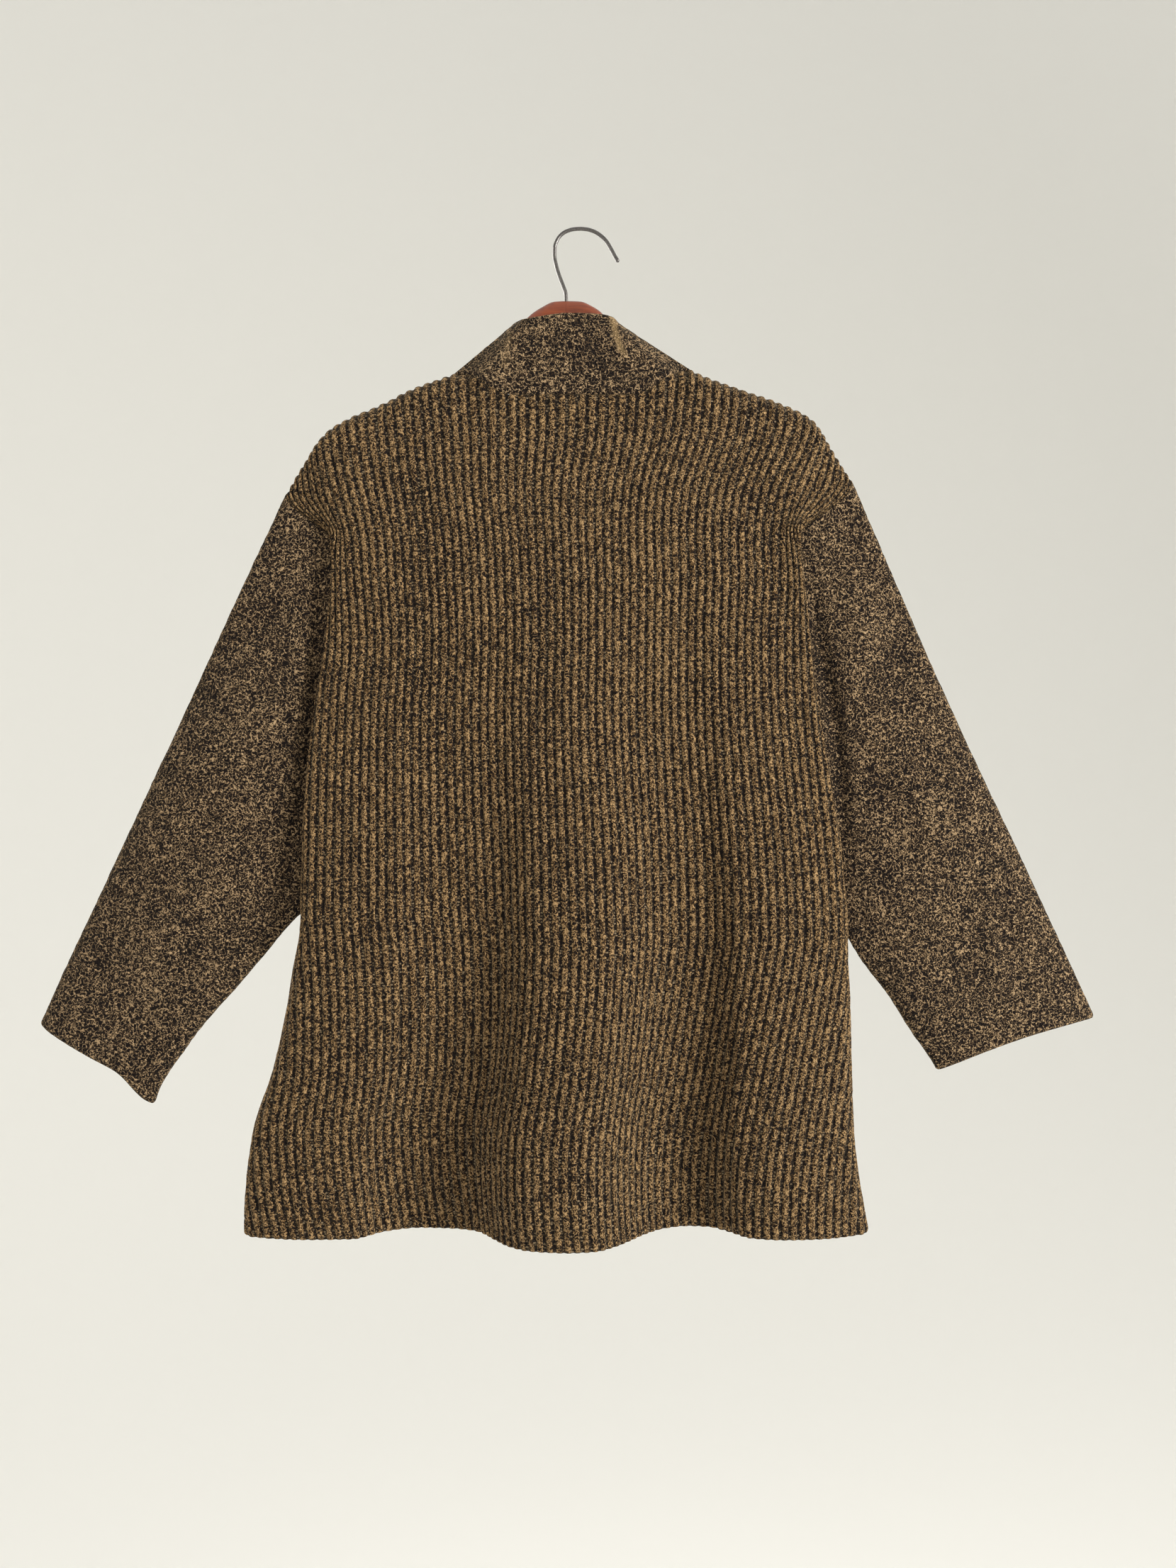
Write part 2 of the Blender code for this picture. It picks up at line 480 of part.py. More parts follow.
def sleeve_points(side, back, front):
    """Rings of a sleeve: the armhole's own points first, each ring from the tip along the back to the
    underarm and along the front up to the tip again."""
    edge = 0 if side == "left" else -1
    last = len(ROWS_TO_UNDERARM) - 1
    hole_back = back.points[:last + 1, edge]
    hole_front = front.points[:last + 1, edge]
    names = SLEEVE_COLUMNS
    rings = []
    for share in SLEEVE_ROWS:
        read = {name: float(column(sleeve_table(side), names, name, share)) for name in names}
        outer = np.array([read["outer_x"], 0.0, read["outer_z"]])
        inner = np.array([read["inner_x"], 0.0, read["inner_z"]])
        along = np.array([inner[2] - outer[2], 0.0, outer[0] - inner[0]])
        along /= np.linalg.norm(along)
        if along[2] > 0:
            along = -along
        start_outer = np.array([sleeve_table(side)[0][1], 0.0, sleeve_table(side)[0][2]])
        start_inner = np.array([sleeve_table(side)[0][3], 0.0, sleeve_table(side)[0][4]])
        ring = []
        halves = ((-1.0, hole_back, range(last + 1)), (1.0, hole_front, range(last - 1, 0, -1)))
        for face, hole, order in halves:
            for index in order:
                q_hole = (hole[index, 2] - hole[0, 2]) / (hole[last, 2] - hole[0, 2])
                q_even = 0.5 - 0.5 * math.cos(math.pi * index / last)
                q = q_hole + (q_even - q_hole) * float(ease(share * 2.0))
                round_off = (1.0 - abs(2 * q - 1) ** 2.6) ** (1 / 2.2) if 0 < q < 1 else 0.0
                point = outer + (inner - outer) * q
                point[1] = read["middle"] + face * read["half"] * round_off
                base = start_outer + (start_inner - start_outer) * q_hole
                base[1] = sleeve_table(side)[0][5] + face * sleeve_table(side)[0][6] * (
                    (1.0 - abs(2 * q_hole - 1) ** 2.6) ** (1 / 2.2) if 0 < q_hole < 1 else 0.0)
                reach = VALLEY_REACH[side] if face < 0 else FRONT_REACH
                keep = (1.0 - float(ease(share / reach / 2.2))) if share > 0 else 1.0
                point = point + (hole[index] - base) * keep
                cuff = float(ease((share - 0.8) / 0.2))
                bow = CUFF_SAG[side] * 4 * q * (1 - q)
                dip = CUFF_DIP[side] * float(ease((q - CUFF_DIP_START) / (1 - CUFF_DIP_START)))
                point = point + along * (bow + dip) * cuff
                ring.append(point)
        rings.append(ring)
    return np.array(rings)


# ================================================================= collar
def collar_points(back, front):
    """Net of the collar: a row for each height, a column for every whole rib of the neckline."""
    neck = RIBS_NECK * 2
    step = 2
    seam = []
    for index in range(front.middle, front.middle - neck - 1, -step):
        seam.append(front.points[0, index])
    for index in range(back.middle - neck + step, back.middle + neck, step):
        seam.append(back.points[0, index])
    for index in range(front.middle + neck, front.middle, -step):
        seam.append(front.points[0, index])
    seam.append(front.right_lip[0])
    seam = np.array(seam)
    count = len(seam)
    quarter = neck // step
    around = np.empty(count)
    around[:quarter + 1] = np.linspace(0.0, 0.27, quarter + 1)
    around[quarter:count - quarter] = np.linspace(0.27, 0.73, count - 2 * quarter)
    around[count - quarter - 1:] = np.linspace(0.73, 1.0, quarter + 1)
    top = np.array(COLLAR_TOP)
    crown = np.stack([curve_through(top[:, 0], top[:, k], around) for k in (1, 2, 3)], axis=1)
    rows = []
    for k in range(COLLAR_ROWS + 1):
        t = k / COLLAR_ROWS
        rows.append(seam + (crown - seam) * t)
    return np.array(rows)


# ================================================================= walls
def face_normals(points):
    """Unit normals at the points of a net, by the diagonals of the cells around each."""
    down = np.gradient(points, axis=0)
    across = np.gradient(points, axis=1)
    normal = np.cross(across, down)
    length = np.linalg.norm(normal, axis=2, keepdims=True)
    return normal / np.maximum(length, 1e-9)


def facing(points, normals, towards):
    """The normals, turned so that on the whole they point the way of towards."""
    return normals if float((normals * towards).sum()) > 0 else -normals


def share_seam_normals(nets):
    """Gives points that several pieces share one normal, the middle of those pieces' own."""
    found = {}
    for points, normals in nets:
        flat_points = points.reshape(-1, 3)
        flat_normals = normals.reshape(-1, 3)
        seen = {}
        for index, point in enumerate(flat_points):
            seen.setdefault(tuple(np.round(point, 2)), []).append(index)
        for key, indices in seen.items():
            mean = flat_normals[indices].sum(axis=0)
            mean /= max(np.linalg.norm(mean), 1e-9)
            found.setdefault(key, []).append((flat_normals, indices, mean))
    for uses in found.values():
        mean = sum(use[2] for use in uses)
        mean = mean / max(np.linalg.norm(mean), 1e-9)
        for flat_normals, indices, _ in uses:
            flat_normals[indices] = mean


def lip_normals_of(front, normals):
    """Normals at the slit's two edges, each from the cloth on its own side. Returns the right edge's."""
    rows = SLIT_LAST_OPEN_ROW + 1
    middle = front.middle
    for way, edge in ((-1, front.points[:rows, middle]), (1, front.right_lip)):
        across = front.points[:rows, middle + 2 * way] - edge
        below = np.vstack([edge[1:], front.points[rows, middle][None]])
        above = np.vstack([edge[:1], edge[:-1]])
        found = np.cross(across, below - above) * way
        found /= np.linalg.norm(found, axis=1, keepdims=True)
        found = found if float((found * normals[:rows, middle + 4 * way]).sum()) > 0 else -found
        if way < 0:
            normals[:rows, middle] = found
        else:
            right = found
        normals[:rows, middle + way] = (found + normals[:rows, middle + 2 * way]) / 2
        normals[:rows, middle + way] /= np.linalg.norm(normals[:rows, middle + way], axis=1, keepdims=True)
    return right


def copy_seam_normals(net, normals, *edges):
    """Gives the first row of a net the normals of the edges that it is sewn to."""
    for points, edge_normals in edges:
        apart = np.linalg.norm(net[0][:, None] - points[None], axis=2)
        nearest = apart.argmin(axis=1)
        for index, other in enumerate(nearest):
            if apart[index, other] < 0.02:
                normals[0, index] = edge_normals[other]


def step_towards(start, goal, amount):
    """Vectors of one length from the start points towards the goal points."""
    step = goal - start
    length = np.linalg.norm(step, axis=-1, keepdims=True)
    return step / np.maximum(length, 1e-9) * amount


def pull_in_rows(points, closed=False, amount=SEAM_GAP / 2):
    """Moves a net's first row towards its inside, square to its edge, by half a seam's parting."""
    moved = points.copy()
    edge = points[0]
    before, after = np.roll(edge, 1, axis=0), np.roll(edge, -1, axis=0)
    if not closed:
        before[0], after[-1] = edge[0], edge[-1]
    along = after - before
    along /= np.maximum(np.linalg.norm(along, axis=1, keepdims=True), 1e-9)
    step = points[1] - edge
    step -= along * (step * along).sum(axis=1, keepdims=True)
    moved[0] += step / np.maximum(np.linalg.norm(step, axis=1, keepdims=True), 1e-9) * amount
    return moved


def pull_in_panel(panel):
    """Moves a body panel's top edge and its two side edges towards its inside."""
    moved = pull_in_rows(panel.points)
    for row in range(panel.rows):
        for way in (-1, 1):
            stop = panel.edge_column(row, way)
            edge = panel.points[row, stop]
            along = panel.points[min(row + 1, panel.rows - 1), stop] - panel.points[max(row - 1, 0), stop]
            along /= np.linalg.norm(along)
            step = panel.points[row, stop - 2 * way] - edge
            step = step_towards(edge, edge + step - along * (step * along).sum(), SEAM_GAP / 2)
            beyond = slice(0, stop + 1) if way < 0 else slice(stop, None)
            moved[row, beyond] += step
    return moved


def straighten(values, middle):
    """Makes a neckline straight between the columns that the plain inside has."""
    reach = 2 * RIBS_NECK
    for start in range(middle - reach, middle + reach, INSIDE_STEP):
        if start < middle < start + INSIDE_STEP:
            continue
        for k in range(1, INSIDE_STEP):
            share = k / INSIDE_STEP
            values[start + k] = values[start] * (1 - share) + values[start + INSIDE_STEP] * share


def mesh_object(name, vertices, faces, material, smooth=True):
    """One object from points in millimetres. Points that fall together are made one."""
    mesh = bpy.data.meshes.new(name)
    mesh.from_pydata([tuple(float(c) * MM for c in v) for v in vertices], [], faces)
    built = bmesh.new()
    built.from_mesh(mesh)
    bmesh.ops.remove_doubles(built, verts=built.verts, dist=0.02 * MM)
    bmesh.ops.dissolve_degenerate(built, edges=built.edges, dist=0.01 * MM)
    bmesh.ops.recalc_face_normals(built, faces=built.faces)
    bmesh.ops.triangulate(built, faces=built.faces)
    built.to_mesh(mesh)
    built.free()
    if smooth:
        mesh.shade_smooth()
        mesh.set_sharp_from_angle(angle=math.radians(50))
    return add_object(name, mesh, material)


def add_object(name, mesh, material):
    obj = bpy.data.objects.new(name, mesh)
    PARTS.objects.link(obj)
    mesh.materials.clear()
    mesh.materials.append(material)
    return obj


def rim_triangles(rim, vertices, flip):
    """Cuts a rim's four-sided face the same way on both sides of a seam: outer, outer, inner, inner."""
    first, second, second_in, first_in = rim
    if vertices[first][2] >= vertices[second][2]:
        cut = [[first, second, second_in], [first, second_in, first_in]]
    else:
        cut = [[first, second, first_in], [second, second_in, first_in]]
    return [face if flip else face[::-1] for face in cut]


def ribbed_wall(name, panel, points, normals, material, lip=None):
    """A body panel: an outer skin with a column for every half rib, and a plain inner skin with few."""
    rows, columns = points.shape[:2]
    middle = panel.middle
    depth = np.zeros((rows, columns))
    for row in range(rows):
        for index, rib in enumerate(panel.ribs):
            held = panel.clamped(rib, row)
            if index % 2 == 1 and abs(held) == abs(rib):
                depth[row, index] = RIB_DEPTH
    outer = points - normals * depth[:, :, None]
    inner = points - normals * CLOTH
    coarse = list(range(0, columns, INSIDE_STEP))
    vertices, ids = [], {}

    def vertex(kind, row, index, split=False):
        key = (kind, row, index, split)
        if key not in ids:
            if split:
                base = lip["outer"][row] if kind == "out" else lip["inner"][row]
            else:
                base = outer[row, index] if kind == "out" else inner[row, index]
            ids[key] = len(vertices)
            vertices.append(base)
        return ids[key]

    def parted(row, index, to_right):
        return lip is not None and index == middle and row <= SLIT_LAST_OPEN_ROW and to_right

    faces = []
    for kind, stops in (("out", list(range(columns))), ("in", coarse)):
        for row in range(rows - 1):
            for a, b in zip(stops[:-1], stops[1:]):
                corners = [
                    vertex(kind, row, a, parted(row, a, True)), vertex(kind, row, b, parted(row, b, False)),
                    vertex(kind, row + 1, b, parted(row + 1, b, False)),
                    vertex(kind, row + 1, a, parted(row + 1, a, True))]
                faces.append(corners if kind == "in" else corners[::-1])
    for row, flip in ((0, False), (rows - 1, True)):
        for a, b in zip(coarse[:-1], coarse[1:]):
            rim = [vertex("out", row, k, parted(row, k, k == a)) for k in range(a, b + 1)]
            rim += [vertex("in", row, b, parted(row, b, False)), vertex("in", row, a, parted(row, a, True))]
            faces.append(rim if not flip else rim[::-1])
    for index, flip in ((0, True), (columns - 1, False)):
        for row in range(rows - 1):
            rim = [vertex("out", row, index), vertex("out", row + 1, index),
                   vertex("in", row + 1, index), vertex("in", row, index)]
            faces += rim_triangles(rim, vertices, flip)
    if lip is not None:
        for row in range(SLIT_LAST_OPEN_ROW + 1):
            for split in (False, True):
                low_split = split and row + 1 <= SLIT_LAST_OPEN_ROW
                rim = [vertex("out", row, middle, split), vertex("out", row + 1, middle, low_split),
                       vertex("in", row + 1, middle, low_split), vertex("in", row, middle, split)]
                faces.append(rim if split else rim[::-1])
    return mesh_object(name, vertices, faces, material)


def plain_wall(name, points, normals, material, thickness, closed_ring):
    """A wall of even thickness on a net of points; a tube when its rows are closed rings."""
    rows, columns = points.shape[:2]
    skins = [points, points - normals * thickness]
    vertices = np.concatenate([skin.reshape(-1, 3) for skin in skins])

    def at(skin, row, index):
        return skin * rows * columns + row * columns + index % columns

    faces = []
    spans = range(columns if closed_ring else columns - 1)
    for row in range(rows - 1):
        for a in spans:
            faces.append([at(0, row, a), at(0, row, a + 1), at(0, row + 1, a + 1), at(0, row + 1, a)])
            faces.append([at(1, row, a), at(1, row + 1, a), at(1, row + 1, a + 1), at(1, row, a + 1)])
    for row, flip in ((0, False), (rows - 1, True)):
        for a in spans:
            rim = [at(0, row, a), at(0, row, a + 1), at(1, row, a + 1), at(1, row, a)]
            faces += rim_triangles(rim, vertices, flip)
    if not closed_ring:
        for index, flip in ((0, False), (columns - 1, True)):
            for row in range(rows - 1):
                rim = [at(0, row, index), at(0, row + 1, index), at(1, row + 1, index), at(1, row, index)]
                faces.append(rim[::-1] if flip else rim)
    return mesh_object(name, vertices, faces, material)


# ================================================================= the sweater
def sweater(materials):
    back, front = Panel("back"), Panel("front")
    sleeves = {side: sleeve_points(side, back, front) for side in ("left", "right")}
    collar = collar_points(back, front)

    away = np.array([0.0, 1.0, 0.0])
    back_normals = facing(back.points, face_normals(back.points), -away)
    front_normals = facing(front.points, face_normals(front.points), away)
    wrapped = {}
    for side, rings in sleeves.items():
        closed = np.concatenate([rings[:, -1:], rings, rings[:, :1]], axis=1)
        normals = face_normals(closed)[:, 1:-1]
        centre = rings.mean(axis=1, keepdims=True)
        wrapped[side] = facing(rings, normals, rings - centre)
    collar_normals = facing(collar, face_normals(collar), collar - collar.mean(axis=(0, 1)) * [1, 0, 1])
    lip_normals = lip_normals_of(front, front_normals)
    nets = [(back.points, back_normals), (front.points, front_normals), (collar, collar_normals)]
    nets += [(sleeves[side], wrapped[side]) for side in sleeves]
    for net in nets:
        net[1].setflags(write=True)
    share_seam_normals([(p, n) for p, n in nets])
    straighten(back_normals[0], back.middle)
    straighten(front_normals[0], front.middle)
    lip_normals[0] = (lip_normals[0] + collar_normals[0, -1]) / 2
    lip_normals[0] /= np.linalg.norm(lip_normals[0])
    for k in range(1, INSIDE_STEP):
        share = k / INSIDE_STEP
        front_normals[0, front.middle + k] = (
            lip_normals[0] * (1 - share) + front_normals[0, front.middle + INSIDE_STEP] * share)
    copy_seam_normals(collar, collar_normals, (back.points[0], back_normals[0]),
                      (front.points[0], front_normals[0]), (front.right_lip[:1], lip_normals[:1]))

    knit, plain = materials["ribbed_knit"], materials["plain_knit"]
    ribbed_wall("back", back, pull_in_panel(back), back_normals, knit)
    front_points = pull_in_panel(front)
    lip_points = front.right_lip.copy()
    lip_points[0] += step_towards(front.right_lip[0], front.right_lip[1], SEAM_GAP / 2)
    lip = {"outer": lip_points, "inner": lip_points - lip_normals * CLOTH}
    ribbed_wall("front", front, front_points, front_normals, knit, lip)
    skin = front_points - front_normals * CLOTH
    collar_net = pull_in_rows(collar, amount=0.8 * SEAM_GAP)
    collar_skin = collar_net - collar_normals * PLAIN_CLOTH
    for side, way in (("left", -1), ("right", 1)):
        stations = tape_stations(front, skin, lip["inner"], collar_net, collar_skin, way)
        zip_tape(f"zip_tape_{side}", stations, way, materials)
    for side in ("left", "right"):
        rings = pull_in_rows(sleeves[side], closed=True, amount=0.8 * SEAM_GAP)
        for index, more in SEAM_CORNERS:
            rings[0, index] += step_towards(rings[0, index], rings[1, index], more * SEAM_GAP)
        plain_wall(f"sleeve_{side}", rings, wrapped[side], plain, PLAIN_CLOTH, True)
    plain_wall("collar", collar_net, collar_normals, plain, PLAIN_CLOTH, False)


# ================================================================= zip
def tape_stations(front, front_skin, lip_skin, collar, collar_skin, way):
    """Inner points of the cloth at its zip edge and beside it, from the slit's foot to the collar's top."""
    middle = front.middle
    stations = []
    for row in range(SLIT_LAST_OPEN_ROW, -1, -1):
        edge = lip_skin[row] if way > 0 else front_skin[row, middle]
        stations.append((edge, front_skin[row, middle + way * INSIDE_STEP]))
    foot = np.array([0.0, 0.0, -TAPE_TAIL])
    stations.insert(0, tuple(point + foot for point in stations[0]))
    first, second = (0, 1) if way < 0 else (-1, -2)
    for k in range(1, COLLAR_ROWS + 1):
        stations.append((collar_skin[k, first], collar_skin[k, second]))
    below, above = np.array(stations[-2]), np.array(stations[-1])
    share = 1.0 - (1.0 - TAPE_SHORT) * COLLAR_ROWS
    stations[-1] = tuple(below + (above - below) * share)
    return stations


def zip_tape(name, stations, way, materials):
    """A zip tape as a thin strip lying on the cloth's inside, a little of it beyond the cloth's edge."""
    vertices = []
    for k, (edge, beside) in enumerate(stations):
        low, high = stations[max(k - 1, 0)][0], stations[min(k + 1, len(stations) - 1)][0]
        across = (beside - edge) / np.linalg.norm(beside - edge)
        inside = np.cross(across, high - low) * way
        inside /= np.linalg.norm(inside)
        behind = COLLAR_BEHIND if k > SLIT_LAST_OPEN_ROW + 2 else ZIP_BEHIND
        near = edge - across * TAPE_SHOWS + inside * behind
        far = edge + across * (TAPE_WIDTH - TAPE_SHOWS) + inside * behind
        vertices += [near, far, far + inside * TAPE_THICK, near + inside * TAPE_THICK]
    count = len(stations)
    faces = [[0, 1, 2, 3], [4 * count - 1, 4 * count - 2, 4 * count - 3, 4 * count - 4]]
    for k in range(count - 1):
        for a in range(4):
            b = (a + 1) % 4
            faces.append([4 * k + a, 4 * k + 4 + a, 4 * k + 4 + b, 4 * k + b])
    return mesh_object(name, vertices, faces, materials["zip_tape"], smooth=False)


def prism(name, outline, y_low, y_high, material, cutter=False):
    """A plate: an outline in X and Z, given in millimetres, between two values of Y."""
    count = len(outline)
    vertices = [(x, y_low, z) for x, z in outline] + [(x, y_high, z) for x, z in outline]
    faces = [list(range(count)), list(range(2 * count - 1, count - 1, -1))]
    faces += [[k, k + count, (k + 1) % count + count, (k + 1) % count] for k in range(count)]
    obj = mesh_object(name, vertices, faces, material, smooth=False)
    if cutter:
        hide_cutter(obj)
    return obj


def hide_cutter(obj):
    """Moves a helper to its own collection, where it isn't rendered."""
    PARTS.objects.unlink(obj)
    CUTTERS.objects.link(obj)
    obj.hide_render = True
    obj.display_type = "WIRE"


def rectangle(x, z, width, height):
    half_w, half_h = width / 2, height / 2
    return [(x - half_w, z - half_h), (x + half_w, z - half_h),
            (x + half_w, z + half_h), (x - half_w, z + half_h)]


def boolean(obj, helper, operation):
    step = obj.modifiers.new(helper.name, "BOOLEAN")
    step.object = helper
    step.operation = operation
    step.solver = "EXACT"


def zip_slider(materials):
    metal = materials["zip_metal"]
    x = BODY_CENTRE
    top, foot = SLIDER_Z + SLIDER_L / 2, SLIDER_Z - SLIDER_L / 2
    w_top, w_foot = SLIDER_TOP_W / 2, SLIDER_FOOT_W / 2
    plate = [(x - w_foot + 1, foot), (x + w_foot - 1, foot), (x + w_foot, foot + 1.2), (x + w_top, top - 3.2),
             (x + w_top - 0.6, top - 0.8), (x + 1.6, top), (x - 1.6, top), (x - w_top + 0.6, top - 0.8),
             (x - w_top, top - 3.2), (x - w_foot, foot + 1.2)]
    half = SLIDER_CHANNEL / 2
    front_y = SLIDER_Y + half
    slider = prism("zip_slider", plate, front_y, front_y + SLIDER_PLATE, metal)
    rear = prism("slider_rear_plate", plate, SLIDER_Y - half - SLIDER_PLATE, SLIDER_Y - half, metal, True)
    post_z = top - 2.6
    post = prism("slider_post", rectangle(x, post_z, POST_W, POST_L), SLIDER_Y - half - 0.6,
                 front_y + 0.6, metal, True)
    low, high = HINGE_Z + CROWN_INSIDE[0], HINGE_Z + CROWN_INSIDE[1]
    bar_y = HINGE_Y + CROWN_ROOM
    leg_low = prism("crown_low_leg", rectangle(x, low - CROWN_LEG / 2, CROWN_W, CROWN_LEG),
                    front_y + 0.5, bar_y + CROWN_BAR / 2, metal, True)
    leg_high = prism("crown_high_leg", rectangle(x, high + CROWN_LEG / 2, CROWN_W, CROWN_LEG),
                     front_y + 0.5, bar_y + CROWN_BAR / 2, metal, True)
    bar = prism("crown_bar", rectangle(x, (low + high) / 2, CROWN_W, high - low + 2 * CROWN_LEG),
                bar_y, bar_y + CROWN_BAR, metal, True)
    for helper in (post, rear, leg_low, leg_high, bar):
        boolean(slider, helper, "UNION")
    return slider


def zip_pull(materials):
    metal = materials["zip_metal"]
    x, half = BODY_CENTRE, PULL_W / 2
    top = HINGE_Z + PULL_THICK / 2
    foot = top - PULL_L
    outline = [(x - half, top), (x - half, foot + PULL_ROUND),
               (x - half + 0.3 * PULL_ROUND, foot + 0.3 * PULL_ROUND),
               (x - half + PULL_ROUND, foot), (x + half - PULL_ROUND, foot),
               (x + half - 0.3 * PULL_ROUND, foot + 0.3 * PULL_ROUND),
               (x + half, foot + PULL_ROUND), (x + half, top)]
    y_low, y_high = HINGE_Y - PULL_THICK / 2, HINGE_Y + PULL_THICK / 2
    pull = prism("zip_pull", outline, y_low, y_high, metal)
    slot_top = HINGE_Z - PULL_THICK / 2
    slot_foot = HINGE_Z - PULL_SLOT_END
    slot = prism("pull_slot", rectangle(x, (slot_top + slot_foot) / 2, PULL_SLOT_W, slot_top - slot_foot),
                 y_low - 1, y_high + 1, metal, True)
    ring = [(x + PULL_HOLE_D / 2 * math.cos(a), foot + 3.6 + PULL_HOLE_D / 2 * math.sin(a))
            for a in np.linspace(0, 2 * math.pi, 17)[:-1]]
    hole = prism("pull_hole", ring, y_low - 1, y_high + 1, metal, True)
    boolean(pull, slot, "DIFFERENCE")
    boolean(pull, hole, "DIFFERENCE")
    return pull


# ================================================================= hanger
def hanger_half(side, materials):
    """Half of the wooden hanger, lofted from its split to its end through upright sections."""
    way = -1.0 if side == "left" else 1.0
    tops = list(HUMP_LEFT if side == "left" else HUMP_RIGHT)
    for rib in ARM_RIBS:
        x, z = shoulder(way * rib)
        tops.append((x, z - HANGER_CLEAR))
    heights = np.array(WOOD_HEIGHT)
    vertices = []
    for k, (x, z) in enumerate(tops):
        tall = float(curve_through(heights[:, 0], heights[:, 1], abs(x - SPLIT_X)))
        at = x + way * SPLIT_GAP if k == 0 else x
        last = k == len(tops) - 1
        slim = 0.6 if last else 1.0
        half, low = HANGER_HALF_THICK * slim, z - tall * (0.85 if last else 1.0)
        high = z - (2.5 if last else 0.0)
        ring = [(HANGER_RIDGE, high), (half * 0.66, high - HANGER_SHOULDER * 0.55),
                (half, high - HANGER_SHOULDER),
                (half, low + 4.0), (half * 0.62, low + 1.2), (half * 0.25, low)]
        ring += [(-y, level) for y, level in reversed(ring)]
        vertices += [(at, y, level) for y, level in ring]
    size = len(vertices) // len(tops)
    faces = [list(range(size)), list(range(len(vertices) - 1, len(vertices) - size - 1, -1))]
    for k in range(len(tops) - 1):
        for a in range(size):
            b = (a + 1) % size
            faces.append([k * size + a, (k + 1) * size + a, (k + 1) * size + b, k * size + b])
    return mesh_object(f"hanger_{side}", vertices, faces, materials["wood"])


def wire_hole(wood, materials):
    """A drilled hole for the wire, shared by the two halves."""
    bpy.ops.mesh.primitive_cylinder_add(
        vertices=24, radius=WIRE_HOLE_D / 2 * MM, depth=(-40.0 - WIRE_HOLE_FOOT) * MM,
        location=(SPLIT_X * MM, 0.0, (-40.0 + WIRE_HOLE_FOOT) / 2 * MM))
    drill = bpy.context.object
    drill.name = "wire_drill"
    for collection in list(drill.users_collection):
        collection.objects.unlink(drill)
    CUTTERS.objects.link(drill)
    drill.hide_render = True
    drill.display_type = "WIRE"
    for half in wood:
        boolean(half, drill, "DIFFERENCE")


def hanger_hook(materials):
    line = np.array(HOOK_LINE)
    run = arc(line[:, 0], line[:, 1])
    steps = np.linspace(0.0, run[-1], int(run[-1] / HOOK_STEP))
    xs, zs = curve_through(run, line[:, 0], steps), curve_through(run, line[:, 1], steps)
    curve = bpy.data.curves.new("hanger_hook", "CURVE")
    curve.dimensions = "3D"
    curve.bevel_depth = WIRE_D / 2 * MM
    curve.bevel_resolution = 2
    curve.use_fill_caps = True
    wire = curve.splines.new("POLY")
    wire.points.add(len(steps) - 1)
    for point, x, z in zip(wire.points, xs, zs):
        point.co = (float(x) * MM, 0.0, float(z) * MM, 1.0)
    obj = bpy.data.objects.new("hanger_hook", curve)
    PARTS.objects.link(obj)
    curve.materials.append(materials["wire"])
    return obj


# ================================================================= start
def material(name):
    colour, roughness, metallic = COLOURS[name]
    made = bpy.data.materials.new(name)
    made.use_nodes = True
    shader = made.node_tree.nodes["Principled BSDF"]
    shader.inputs["Base Color"].default_value = (*colour, 1.0)
    shader.inputs["Roughness"].default_value = roughness
    shader.inputs["Metallic"].default_value = metallic
    made.diffuse_color = (*colour, 1.0)
    return made


for old in list(bpy.data.objects):
    bpy.data.objects.remove(old)
PARTS = bpy.data.collections.new("quarter_zip_sweater")
bpy.context.scene.collection.children.link(PARTS)
CUTTERS = bpy.data.collections.new("cutters")
bpy.context.scene.collection.children.link(CUTTERS)
MATERIALS = {name: material(name) for name in COLOURS}
sweater(MATERIALS)
zip_slider(MATERIALS)
zip_pull(MATERIALS)
wire_hole([hanger_half(side, MATERIALS) for side in ("left", "right")], MATERIALS)
hanger_hook(MATERIALS)
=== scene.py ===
"""Looks of a ribbed boucle quarter-zip sweater that hangs on a wooden hanger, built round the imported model.

The file is laid out as a Blender add-on: its sizes and colours are properties, each piece is made by an
operator, and a panel in the sidebar lists them. Tables are in millimetres, and MM turns them into metres.
The back of the sweater faces -Y, +Z is up, and the origin is the inner crown of the hanger's hook.
"""
import math

import bmesh
import bpy
import numpy as np
from bpy.props import FloatProperty, FloatVectorProperty, PointerProperty
from mathutils import Matrix, Vector


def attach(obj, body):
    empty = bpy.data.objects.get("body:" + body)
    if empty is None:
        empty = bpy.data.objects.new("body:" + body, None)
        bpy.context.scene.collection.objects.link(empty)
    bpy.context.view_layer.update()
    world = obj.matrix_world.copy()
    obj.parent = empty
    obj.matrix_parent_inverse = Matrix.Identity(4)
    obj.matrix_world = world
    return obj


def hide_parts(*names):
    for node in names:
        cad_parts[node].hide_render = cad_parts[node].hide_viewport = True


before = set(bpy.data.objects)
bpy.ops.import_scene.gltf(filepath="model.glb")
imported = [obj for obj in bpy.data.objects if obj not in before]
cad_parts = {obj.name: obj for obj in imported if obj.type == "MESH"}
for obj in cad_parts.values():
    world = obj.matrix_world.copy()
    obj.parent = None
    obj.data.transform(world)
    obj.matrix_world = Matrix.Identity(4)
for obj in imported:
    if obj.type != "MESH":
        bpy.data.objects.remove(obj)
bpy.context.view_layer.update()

bl_info = {
    "name": "Quarter-Zip Sweater on a Hanger",
    "version": (1, 0, 0),
    "blender": (4, 5, 0),
    "location": "3D View > Sidebar > Sweater",
    "description": "Builds a hanging boucle sweater, its zip and its wooden hanger round a packed model",
    "category": "Add Mesh",
}

MM = 0.001

